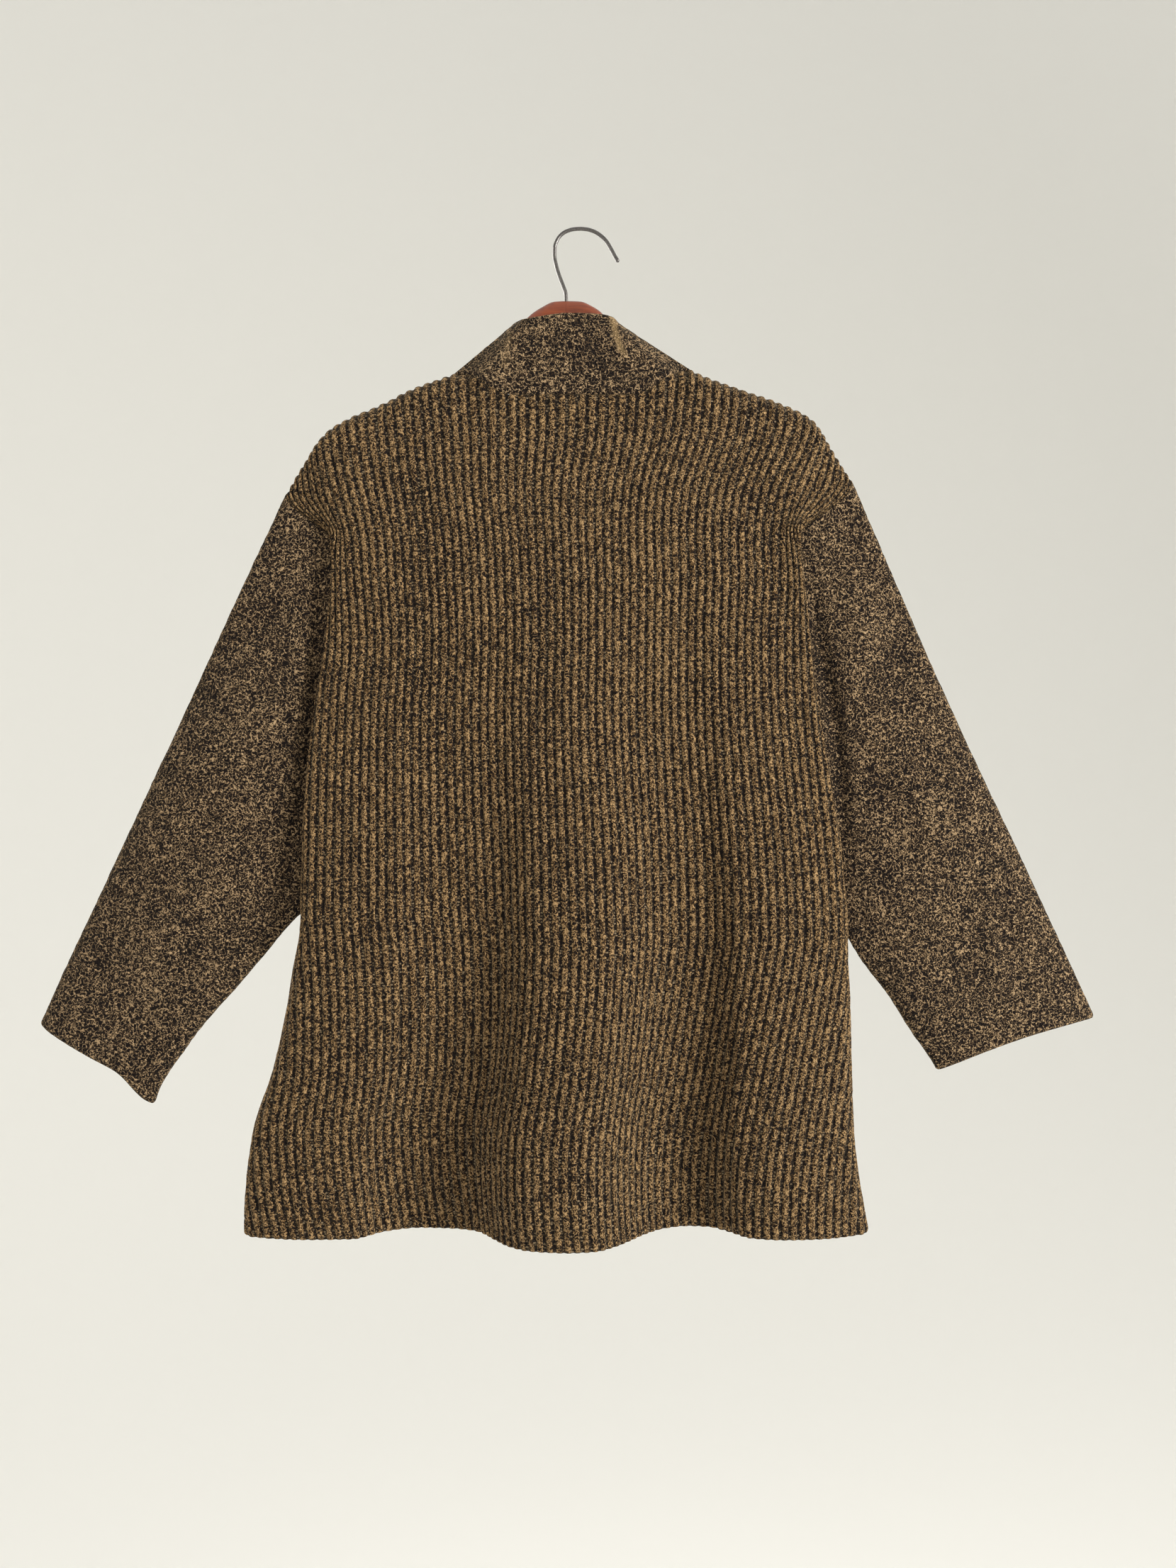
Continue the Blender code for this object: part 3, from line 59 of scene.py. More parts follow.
# ---------------------------------------------------------------- cut of the cloth, as in the solids
RIBS_TOP, RIBS_HEM, RIBS_NECK = 34, 40, 12
RIB_PITCH = 7.7
HEM_Z = -868.0
UNDERARM_Z = {"left": -596.0, "right": -617.0}
UNDERARM_X = {"left": -243.0, "right": 233.0}
BACK_NECK_Z, FRONT_NECK_Z = -147.0, -212.0
FRONT_DEPTH_Z = -200.0      # level whose depth the front has at its neckline
BODY_CENTRE = -9.5
TURN, TUCK = 15.0, 19.0     # how far inside the outline a panel's side starts to fold, and ends
EDGE_APART = 6.2            # of a panel's armhole from the middle plane
RIDGE_FALL, NECK_FALL = 13.0, 60.0      # drop over which the cloth turns from shoulder seam or neckline
SEAM_FALL, ARMHOLE_FALL = 50.0, 120.0   # stretch below and above the underarm over which the edge settles
BODY_LEVELS = [
    # z,     left,   right,  back, back_side, front, front_side, hidden, seam_left, seam_right, wave
    (-100.0, -217.0, 200.0, -12.0, -12.0, 12.0, 12.0, 6.5, 0.0, 0.0, 0.00),
    (-170.0, -217.0, 200.0, -14.0, -13.0, 13.0, 12.5, 6.5, 0.0, 0.0, 0.00),
    (-235.0, -215.5, 187.5, -18.0, -15.5, 14.5, 13.5, 6.8, 0.0, 0.0, 0.00),
    (-296.0, -215.3, 192.5, -22.0, -17.0, 15.0, 14.0, 6.6, 0.0, 0.0, 0.02),
    (-358.0, -220.0, 199.0, -25.0, -17.5, 15.0, 14.0, 5.2, 0.0, 0.0, 0.07),
    (-419.0, -229.5, 206.0, -27.5, -18.0, 15.0, 14.0, 4.4, 0.0, 0.0, 0.15),
    (-480.0, -235.5, 215.5, -30.0, -19.0, 15.0, 15.0, 3.8, 0.0, 0.0, 0.26),
    (-541.0, -240.8, 226.0, -32.5, -22.0, 15.0, 16.0, 3.2, 0.0, 0.0, 0.38),
    (-603.0, -245.4, 233.0, -34.5, -21.0, 15.0, 15.0, 2.8, 0.0, 0.0, 0.52),
    (-664.0, -252.5, 235.0, -36.5, -21.0, 15.0, 13.0, 2.5, -3.0, -2.0, 0.66),
    (-725.0, -264.5, 236.0, -38.5, -23.0, 15.0, 12.0, 2.2, -7.0, -5.0, 0.79),
    (-787.0, -283.0, 238.0, -40.0, -26.0, 15.0, 10.0, 2.0, -12.0, -7.0, 0.91),
    (-848.0, -288.5, 246.0, -41.0, -29.0, 15.0, 7.0, 1.6, -17.0, -10.0, 1.00),
    (-868.0, -288.5, 250.0, -41.0, -30.0, 15.0, 6.0, 1.5, -19.0, -11.0, 1.00),
]
BODY_COLUMNS = ("z", "left", "right", "back", "back_side", "front", "front_side", "hidden",
                "seam_left", "seam_right", "wave")
BACK_WAVES = [(-290.0, -30.0), (-268.0, -38.0), (-230.0, -42.0), (-192.0, -40.0), (-168.0, -22.0),
              (-140.0, -13.0), (-112.0, -15.0), (-90.0, -22.0), (-75.0, -40.0), (-60.0, -58.0),
              (-42.0, -68.0), (-10.0, -72.0), (12.0, -69.0), (31.0, -56.0), (44.0, -42.0),
              (57.0, -27.0), (72.0, -15.0), (93.0, -9.0), (110.0, -11.0), (127.0, -24.0),
              (142.0, -38.0), (170.0, -43.0), (200.0, -41.0), (228.0, -34.0), (250.0, -22.0)]
FRONT_WAVES = [(-290.0, 4.0), (-250.0, 14.0), (-205.0, 18.0), (-155.0, 10.0), (-100.0, 17.0),
               (-55.0, 19.0), (-10.0, 13.0), (40.0, 17.0), (90.0, 11.0), (140.0, 18.0),
               (190.0, 12.0), (225.0, 14.0), (250.0, 4.0)]
# The shoulder seam from the neck point to the tip: rib, X and Z.
SHOULDER_LEFT = [(12.0, -110.6, -125.0), (16.8, -148.5, -138.8), (19.9, -172.6, -151.0),
                 (23.4, -201.0, -163.4), (25.4, -216.0, -171.5), (27.5, -229.0, -184.0),
                 (29.9, -239.5, -200.5), (31.7, -247.5, -213.0), (34.0, -257.0, -229.8)]
SHOULDER_RIGHT = [(12.0, 97.0, -121.5), (14.1, 112.6, -128.6), (17.8, 141.7, -138.8),
                  (22.3, 177.0, -151.5), (25.4, 200.6, -163.4), (27.4, 211.0, -175.2),
                  (29.3, 218.6, -188.2), (31.4, 227.5, -202.5), (34.0, 237.8, -218.6)]
VALLEY_Z = -290.0
ROWS_TO_UNDERARM = (0.0, 0.03, 0.10, 0.19, 0.30, 0.44, 0.62, 0.80, 0.94, 1.0)
SLIT_ROWS_Z = (-212.0, -222.0, -250.0, -310.0, -385.0, -400.0, -465.0, -535.0, -590.0, -606.5)
SLIT_REACH, SLIT_PUSH = 9.0, 110.0      # ribs and millimetres beside the slit that give way to it
SLIT_HALF_BOTTOM, SLIT_HALF_NECK = 6.0, 27.0
SLIT_TOP_Z, SLIT_BOTTOM_Z, SLIT_CLOSED_Z, SLIT_SETTLED_Z = -212.0, -385.0, -400.0, -520.0
# Top edge of the collar from the left front corner round the back: share of the way, X, Y and Z.
COLLAR_TOP = [
    (0.00, -68.0, 15.0, -152.0), (0.10, -67.0, 15.0, -124.0), (0.19, -61.0, 11.5, -96.0),
    (0.27, -53.5, 0.0, -78.0), (0.33, -45.0, -10.0, -79.3), (0.50, -12.0, -13.0, -76.3),
    (0.67, 20.0, -10.0, -76.1), (0.73, 29.0, 0.0, -78.0), (0.81, 39.0, 11.5, -95.0),
    (0.90, 47.0, 15.0, -122.0), (1.00, 49.0, 15.0, -152.0),
]
COLLAR_FOLDS = (0.27, 0.73)
# Sections of a sleeve: share of its length, outer X and Z, inner X and Z, middle Y and half depth.
SLEEVES = {
    "left": [
        (0.00, -257.0, -229.8, -238.0, -596.0, 2.0, 12.0),
        (0.20, -301.0, -323.0, -264.0, -620.0, 1.5, 13.0),
        (0.45, -354.5, -439.0, -300.0, -661.0, 2.0, 14.0),
        (0.70, -409.0, -555.0, -336.0, -702.0, 4.0, 13.0),
        (0.90, -453.0, -648.0, -359.0, -736.0, 5.0, 12.0),
        (1.00, -474.0, -694.5, -367.0, -752.0, 5.0, 12.0)],
    "right": [
        (0.00, 237.8, -218.6, 236.0, -617.0, 2.0, 12.0),
        (0.20, 281.0, -319.0, 250.0, -641.0, 2.0, 13.0),
        (0.45, 334.0, -438.0, 270.0, -669.0, 2.0, 14.0),
        (0.70, 389.0, -554.0, 291.0, -702.0, 3.0, 13.0),
        (0.90, 431.0, -644.0, 306.5, -724.0, 4.0, 12.0),
        (1.00, 451.0, -688.0, 313.0, -735.0, 4.0, 12.0)],
}
SLEEVE_COLUMNS = ("share", "outer_x", "outer_z", "inner_x", "inner_z", "middle", "half")
CUFF_DIP = {"left": 14.0, "right": 0.0}         # of the cuff's inner corner
CUFF_DIP_START = 0.62
CUFF_SAG = {"left": 2.0, "right": -5.0}         # of the cuff's middle
VALLEY_REACH = {"left": 0.14, "right": 0.22}    # share of a sleeve that takes up the armhole's curve, behind
FRONT_REACH = 0.22                              # and in front
CUFF_START = 0.8        # share of a sleeve's length from which its cuff sags and dips

# ---------------------------------------------------------------- finer form that only the looks have
COLUMNS_PER_RIB = 6
TO_UNDERARM, TO_HEM = 460.0, 262.0      # a panel's length above and below the underarm, roughly
GRID_TOP, GRID_STEP, GRID_PER_RIB = -108.0, 2.0, 4
SHOULDER_ROWS = (0.0, 0.5, 1.2, 2.2, 3.5, 5.2, 7.4, 10.0, 13.0, 16.5, 20.5)
HEM_ROWS = (20.0, 17.5, 15.5, 14.2, 13.4, 12.7, 12.0, 10.8, 8.6, 6.0, 3.6, 2.0, 0.9, 0.25, 0.0)
OPEN_ROWS, UPPER_ROWS, LOWER_ROWS = 52, 108, 76     # rows to the slit's foot, to the underarm, and on
MEET = 0.004            # points closer than this are one
INSIDE_COLUMNS, INSIDE_ROWS = 6, 4      # columns and rows of the outer skin for one of the inner skin
STITCH_LINE, STITCH_DEEP, STITCH_HALF = 13.0, 0.55, 1.1     # groove of the hem's stitches above its edge
EDGE_ROLL = 1.4         # how far a raw or turned edge rounds inwards
SEAM_ROLL = 0.9         # how far the cloth sinks at a sewn seam
COLLAR_TOP_ROLL, COLLAR_SIDE_ROLL = 1.2, 1.0    # the same as an edge's, at the collar
RIB_FLAT = 0.10         # flat part of a rib on each side of its crest, in ribs
# Swells of each piece's loops: millimetres apart, and the seed of their random heights.
SWELLS = {"back": (3.4, 11), "front": (3.4, 12), "sleeve_left": (4.2, 21), "sleeve_right": (4.2, 22),
          "collar": (3.6, 31)}
CREASES = [
    # piece, face, X and Z of both ends, half width, height: above 0 is a ridge, below 0 a trough
    ("sleeve_left", -1, -264, -315, -344, -442, 17, -2.6),
    ("sleeve_left", -1, -236, -352, -292, -470, 15, 2.0),
    ("sleeve_left", -1, -224, -320, -244, -520, 8, -5.0),
    ("sleeve_left", -1, -310, -545, -372, -640, 16, 2.4),
    ("sleeve_left", -1, -384, -575, -425, -655, 13, -1.9),
    ("sleeve_left", -1, -352, -690, -392, -735, 11, -2.0),
    ("sleeve_left", 1, -270, -330, -330, -480, 18, -2.4),
    ("sleeve_left", 1, -330, -520, -396, -610, 15, 2.2),
    ("sleeve_left", 1, -300, -590, -345, -668, 12, -1.8),
    ("sleeve_right", -1, 239, -312, 243, -402, 15, 2.6),
    ("sleeve_right", -1, 205, -320, 230, -530, 8, -5.0),
    ("sleeve_right", -1, 262, -300, 292, -420, 16, -1.8),
    ("sleeve_right", -1, 252, -440, 330, -560, 16, 1.8),
    ("sleeve_right", -1, 345, -590, 392, -650, 15, -2.2),
    ("sleeve_right", -1, 352, -610, 371, -655, 11, 1.8),
    ("sleeve_right", 1, 262, -330, 318, -470, 17, 2.4),
    ("sleeve_right", 1, 300, -500, 372, -620, 15, -2.2),
    ("sleeve_right", 1, 268, -560, 315, -668, 12, 1.6),
    ("collar", -1, 24, -74, 40, -116, 4.5, 1.6),
    ("collar", -1, 6, -84, 20, -128, 7, -1.0),
    ("collar", -1, -56, -86, -70, -126, 7, 1.0),
    ("back", -1, -196, -182, -176, -330, 13, 1.4),
    ("back", -1, -150, -190, -128, -420, 16, -1.6),
    ("back", -1, 150, -186, 168, -330, 14, -1.5),
    ("back", -1, 60, -210, 84, -470, 18, 1.5),
    ("back", -1, -36, -300, -26, -560, 17, -1.3),
    ("front", 1, -160, -200, -120, -420, 17, 1.6),
    ("front", 1, -60, -330, -100, -520, 15, -1.8),
    ("front", 1, 70, -300, 110, -500, 16, 1.8),
    ("front", 1, 150, -200, 120, -380, 14, -1.4),
]

# ---------------------------------------------------------------- zip and hanger, as in the solids
TAPE_WIDTH, TAPE_THICK, TAPE_SHOWS = 10.0, 0.9, 4.5
ZIP_BEHIND, COLLAR_BEHIND = 0.4, 2.8
TAPE_TAIL, TAPE_SHORT, TAPE_CORNER = 11.0, 0.96, 0.12
TOOTH_PITCH, TOOTH_WIDE, TOOTH_TALL, TOOTH_THICK = 2.7, 2.5, 1.45, 2.0
TOOTH_FIRST, TOOTH_LAST = 1.0, 5.0      # how far from the tape's foot and from its top the teeth keep
TOOTH_OUT, TOOTH_HEAD, TOOTH_BEVEL = 0.15, 0.72, 0.22   # beyond the edge, the head's share of the width
SPLIT_X = -12.1
HANGER_HALF_THICK, HANGER_RIDGE, HANGER_SHOULDER, HANGER_CLEAR = 5.2, 1.2, 7.6, 5.7
# Half of the arm's section: half thickness, height, and the edge it is from, 0 the top and 1 the bottom.
HANGER_PROFILE = [(HANGER_RIDGE, 0.0, 0), (3.4, -4.2, 0), (HANGER_HALF_THICK, -HANGER_SHOULDER, 0),
                  (HANGER_HALF_THICK, 4.0, 1), (3.2, 1.2, 1), (1.3, 0.0, 1)]
HANGER_TAPER, HANGER_ROUND = 16.0, 6.0      # last stretch of an arm that thins, and that rounds off
HANGER_END_RINGS = (4.6, 3.4, 2.3, 1.4, 0.7, 0.25, 0.0)
GLUE_GAP = 0.05
HUMP = {
    "left": [(-12.1, -60.4), (-22.0, -61.0), (-34.5, -66.7), (-42.0, -71.8), (-47.0, -76.6),
             (-51.5, -83.5), (-58.0, -93.5), (-68.0, -106.0), (-88.0, -123.5), (-112.0, -139.0)],
    "right": [(-12.1, -60.4), (0.4, -61.0), (9.7, -64.8), (17.0, -69.5), (22.0, -74.8),
              (27.0, -84.5), (35.0, -96.0), (48.0, -108.0), (72.0, -122.0), (99.0, -136.0)],
}
ARM_RIBS = (15.0, 18.0, 20.0, 22.0, 24.0, 24.8)
WOOD_HEIGHT = [(0.0, 52.0), (20.0, 48.0), (45.0, 33.0), (80.0, 27.0), (130.0, 27.0), (185.0, 23.0),
               (215.0, 17.0)]
HOOK_LINE = [(-12.1, -76.0), (-12.1, -66.0), (-12.5, -55.5), (-15.0, -47.6), (-18.0, -39.8),
             (-20.8, -30.5), (-22.3, -22.0), (-22.2, -14.8), (-20.1, -8.4), (-16.4, -3.4),
             (-11.4, -0.3), (-5.7, 1.3), (0.0, 1.7), (5.8, 1.2), (12.0, -0.6), (17.8, -4.1),
             (22.6, -8.7), (26.9, -15.6), (30.5, -22.3), (33.7, -27.6)]
WIRE_RADIUS = 1.6

# ---------------------------------------------------------------- studio, in metres, and camera
STUDIO_BEND, STUDIO_BEND_STEPS = 3.6, 24
STUDIO_WALL, STUDIO_SIDES = 6.2, 96
LIGHT_AIM = (0.0, 0.0, -0.4)
LIGHTS = [
    # name, place, size, which power it has and what share of it, spread in degrees
    ("window", (2.6, -1.6, 0.25), 1.3, "window_power", 1.0, 120.0),
    ("fill", (-2.4, -2.0, 0.0), 2.4, "fill_power", 1.0, 120.0),
    ("far_window", (-2.0, 2.5, 0.5), 2.2, "window_power", 0.32, 60.0),
    ("far_fill", (2.4, 2.0, 0.2), 2.4, "fill_power", 0.5, 60.0),
]
PHOTO_HEIGHT_PX, FOCAL_PX = 2212, 1750.0
CAMERA_AT = (0.0069, -1.085, -0.4839)


# ================================================================= curves and tables
def curve_through(xs, ys, x):
    """Smooth curve through the points (xs, ys) that never overshoots between two of them."""
    xs, ys = np.asarray(xs, float), np.asarray(ys, float)
    steps = np.diff(xs)
    slopes = np.diff(ys) / steps
    bends = np.zeros(len(xs))
    same_way = slopes[:-1] * slopes[1:] > 0
    inner = np.zeros(len(slopes) - 1)
    left, right = 2 * steps[1:] + steps[:-1], steps[1:] + 2 * steps[:-1]
    inner[same_way] = (left + right)[same_way] / (
        left[same_way] / slopes[:-1][same_way] + right[same_way] / slopes[1:][same_way])
    bends[1:-1] = inner
    bends[0], bends[-1] = slopes[0], slopes[-1]
    x = np.clip(np.asarray(x, float), xs[0], xs[-1])
    cell = np.clip(np.searchsorted(xs, x, side="right") - 1, 0, len(steps) - 1)
    t, width = (x - xs[cell]) / steps[cell], steps[cell]
    return ((1 + 2 * t) * (1 - t) ** 2 * ys[cell] + t * (1 - t) ** 2 * width * bends[cell]
            + t ** 2 * (3 - 2 * t) * ys[cell + 1] + t ** 2 * (t - 1) * width * bends[cell + 1])


def column(table, names, wanted, where):
    """One named column of a table, read at the values where of its first column."""
    rows = np.array(table, float)
    rows = rows[np.argsort(rows[:, 0])]
    return curve_through(rows[:, 0], rows[:, names.index(wanted)], where)


def ease(x):
    """0 to 1 with soft ends."""
    x = np.clip(x, 0.0, 1.0)
    return x * x * (3 - 2 * x)


def unit(vectors):
    """The same directions, each of length 1."""
    return vectors / np.maximum(np.linalg.norm(vectors, axis=-1, keepdims=True), 1e-9)


def arc(*coordinates):
    """Length along a line of points, from its start."""
    steps = np.sqrt(sum(np.diff(c) ** 2 for c in coordinates))
    return np.concatenate([[0.0], np.cumsum(steps)])


def run_down(net):
    """Length along each column of a net of points, from its first row."""
    steps = np.linalg.norm(np.diff(net, axis=0), axis=2)
    return np.vstack([np.zeros(net.shape[1]), np.cumsum(steps, axis=0)])


def run_across(net):
    """Length along each row of a net of points, from its first column."""
    steps = np.linalg.norm(np.diff(net, axis=1), axis=2)
    return np.hstack([np.zeros((len(net), 1)), np.cumsum(steps, axis=1)])


def read_line(at, run, line):
    """Points of a line at the lengths at, where run is the length at each of the line's own points."""
    return np.stack([np.interp(at, run, line[:, k]) for k in range(3)], axis=-1)


def lumps(points, size, seed):
    """Even random swells between -1 and 1 over points in millimetres, size apart."""
    lattice = np.random.RandomState(seed).uniform(-1.0, 1.0, (64, 64, 64))
    at = points / size
    cell = np.floor(at).astype(int)
    part = ease(at - cell)
    total = np.zeros(points.shape[:-1])
    for corner in np.ndindex(2, 2, 2):
        index = (cell + corner) % 64
        weight = np.prod(np.where(np.array(corner) == 1, part, 1 - part), axis=-1)
        total += weight * lattice[index[..., 0], index[..., 1], index[..., 2]]
    return total


# ================================================================= the body's surface
def body_level(name, z):
    """A named column of the body's table at a level."""
    return float(column(BODY_LEVELS, BODY_COLUMNS, name, z))


def ribs_to_edge(z, side):
    """Ribs from the centre to the armhole or the side seam at a level."""
    below = (UNDERARM_Z[side] - z) / (UNDERARM_Z[side] - HEM_Z)
    return RIBS_TOP + (RIBS_HEM - RIBS_TOP) * np.clip(below, 0.0, 1.0)


def shoulder(rib):
    """X and Z of the shoulder seam at a rib; the neck point where the rib is inside the neck."""
    table = np.array(SHOULDER_LEFT if rib < 0 else SHOULDER_RIGHT)
    out = max(abs(rib), RIBS_NECK)
    return (float(curve_through(table[:, 0], table[:, 1], out)),
            float(curve_through(table[:, 0], table[:, 2], out)))


def top_edge(panel, rib):
    """X, Y and Z of the top edge of a panel: the shoulder seam, or the neckline inside the neck."""
    x, z = shoulder(rib)
    if abs(rib) >= RIBS_NECK:
        return x, 0.0, z
    left, right = shoulder(-RIBS_NECK), shoulder(RIBS_NECK)
    across = (rib + RIBS_NECK) / (2 * RIBS_NECK)
    chord_z = left[1] + (right[1] - left[1]) * across
    inside = 1.0 - abs(rib) / RIBS_NECK
    if panel == "back":
        drop = (BACK_NECK_Z - chord_z) * float(ease(inside * 2.0))
        x = left[0] + (right[0] - left[0]) * across
        return x, body_level("back", BACK_NECK_Z) * float(ease(inside * 4.0)), chord_z + drop
    side = -1.0 if rib < 0 else 1.0
    corner = BODY_CENTRE + side * SLIT_HALF_NECK
    neck = left if rib < 0 else right
    x = neck[0] + (corner - neck[0]) * inside
    z = neck[1] + (FRONT_NECK_Z - neck[1]) * math.sin(inside * math.pi / 2) ** 1.25
    return x, body_level("front", FRONT_DEPTH_Z) * float(ease(inside * 4.0)), z


def panel_depth(panel, z, x):
    """Y of a panel's middle part at a level, at the X values of an array."""
    left, right = body_level("left", z), body_level("right", z)
    u = (2 * x - left - right) / (right - left)
    flat = body_level(panel, z)
    calm = flat + (body_level(panel + "_side", z) - flat) * np.abs(u) ** 3
    waves = np.array(BACK_WAVES if panel == "back" else FRONT_WAVES)
    ends = waves[0, 0], waves[-1, 0]
    hem_x = (ends[0] + ends[1]) / 2 + u * (ends[1] - ends[0]) / 2
    return calm + body_level("wave", z) * (curve_through(waves[:, 0], waves[:, 1], hem_x) - calm)


def edge_point(panel, side, z):
    """X and Y of a panel's own edge at a level below the shoulder: armhole seam, then side seam."""
    inward = 1.0 if side == "left" else -1.0
    tip = (SHOULDER_LEFT if side == "left" else SHOULDER_RIGHT)[-1]
    outline = body_level(side, z)
    if z <= UNDERARM_Z[side]:
        settle = float(ease((UNDERARM_Z[side] - z) / SEAM_FALL))
        return UNDERARM_X[side] * (1 - settle) + (outline + 0.3 * inward) * settle, body_level(
            "seam_" + side, z)
    share = armhole_share(side, z)
    tucked = outline + TUCK * min(body_level("hidden", z) / 5.0, 1.0) * inward
    reach = float(ease((tip[2] - z) / (tip[2] - VALLEY_Z)))
    near = float(ease((z - UNDERARM_Z[side]) / ARMHOLE_FALL))
    x = tip[1] + (tucked - tip[1]) * reach
    x = UNDERARM_X[side] + (x - UNDERARM_X[side]) * near
    apart = EDGE_APART * max(math.sin(math.pi * share), 0.1 if share < 0.5 else 0.0) ** 0.14
    return x, -apart if panel == "back" else apart


def armhole_share(side, z):
    """0 at the tip of the shoulder, 1 at the underarm and below it."""
    tip_z = (SHOULDER_LEFT if side == "left" else SHOULDER_RIGHT)[-1][2]
    return min(max((tip_z - z) / (tip_z - UNDERARM_Z[side]), 0.0), 1.0)


def side_turn(panel, side, z):
    """The folded side of a panel at a level, as X and Y from the middle part to the panel's edge."""
    inward = 1.0 if side == "left" else -1.0
    outline = body_level(side, z)
    start_x = outline + TURN * inward
    start_y = float(panel_depth(panel, z, np.array([start_x]))[0])
    end_x, end_y = edge_point(panel, side, z)
    share = armhole_share(side, z)
    tucked = float(ease((1.0 - share) * 4.0)) if z > UNDERARM_Z[side] else 0.0
    peak = (outline - (start_x + end_x) / 8.0) / 0.75
    round_x = start_x + 0.55 * (end_x - start_x)
    first = (round_x + (peak - round_x) * tucked, start_y)
    last = (end_x + (peak - end_x) * tucked, end_y + (start_y - end_y) * 0.55 * (1 - 0.15 * tucked))
    t = np.linspace(0.0, 1.0, 41)
    b0, b1, b2, b3 = (1 - t) ** 3, 3 * t * (1 - t) ** 2, 3 * t ** 2 * (1 - t), t ** 3
    return (b0 * start_x + b1 * first[0] + b2 * last[0] + b3 * end_x,
            b0 * start_y + b1 * first[1] + b2 * last[1] + b3 * end_y)


def level_curve(panel, z):
    """The panel's cross section at a level: ribs, X and Y from its left edge to its right edge."""
    left, right = body_level("left", z), body_level("right", z)
    x = np.linspace(left + TURN, right - TURN, 301)
    y = panel_depth(panel, z, x)
    hidden = body_level("hidden", z) + 0.6 * TURN / RIB_PITCH
    run = arc(x, y)
    edges = {side: float(ribs_to_edge(z, side)) for side in ("left", "right")}
    ribs = -(edges["left"] - hidden) + run / run[-1] * (edges["left"] + edges["right"] - 2 * hidden)
    parts = [(ribs, x, y)]
    for side, way in (("left", -1.0), ("right", 1.0)):
        turn_x, turn_y = side_turn(panel, side, z)
        turn_run = arc(turn_x, turn_y)
        turn_ribs = way * (edges[side] - hidden + hidden * turn_run / turn_run[-1])
        if side == "left":
            parts.insert(0, (turn_ribs[:0:-1], turn_x[:0:-1], turn_y[:0:-1]))
        else:
            parts.append((turn_ribs[1:], turn_x[1:], turn_y[1:]))
    return tuple(np.concatenate([part[k] for part in parts]) for k in range(3))


class LevelGrid:
    """A panel's cross sections on an even grid of levels and quarter ribs, read between its points."""

    def __init__(self, panel):
        self.ribs = np.arange(-GRID_PER_RIB * RIBS_HEM, GRID_PER_RIB * RIBS_HEM + 1) / GRID_PER_RIB
        levels = np.arange(GRID_TOP, HEM_Z - 2 * GRID_STEP, -GRID_STEP)
        sections = [level_curve(panel, max(z, HEM_Z)) for z in levels]
        self.x = np.array([np.interp(self.ribs, ribs, x) for ribs, x, _ in sections])
        self.y = np.array([np.interp(self.ribs, ribs, y) for ribs, _, y in sections])

    def at(self, ribs, z):
        """X and Y at ribs and levels."""
        across = np.clip((ribs + RIBS_HEM) * GRID_PER_RIB, 0, self.x.shape[1] - 1.001)
        down = np.clip((GRID_TOP - z) / GRID_STEP, 0, self.x.shape[0] - 1.001)
        c, r = across.astype(int), down.astype(int)
        u, v = across - c, down - r
        found = []
        for grid in (self.x, self.y):
            upper = grid[r, c] * (1 - u) + grid[r, c + 1] * u
            lower = grid[r + 1, c] * (1 - u) + grid[r + 1, c + 1] * u
            found.append(upper * (1 - v) + lower * v)
        return found


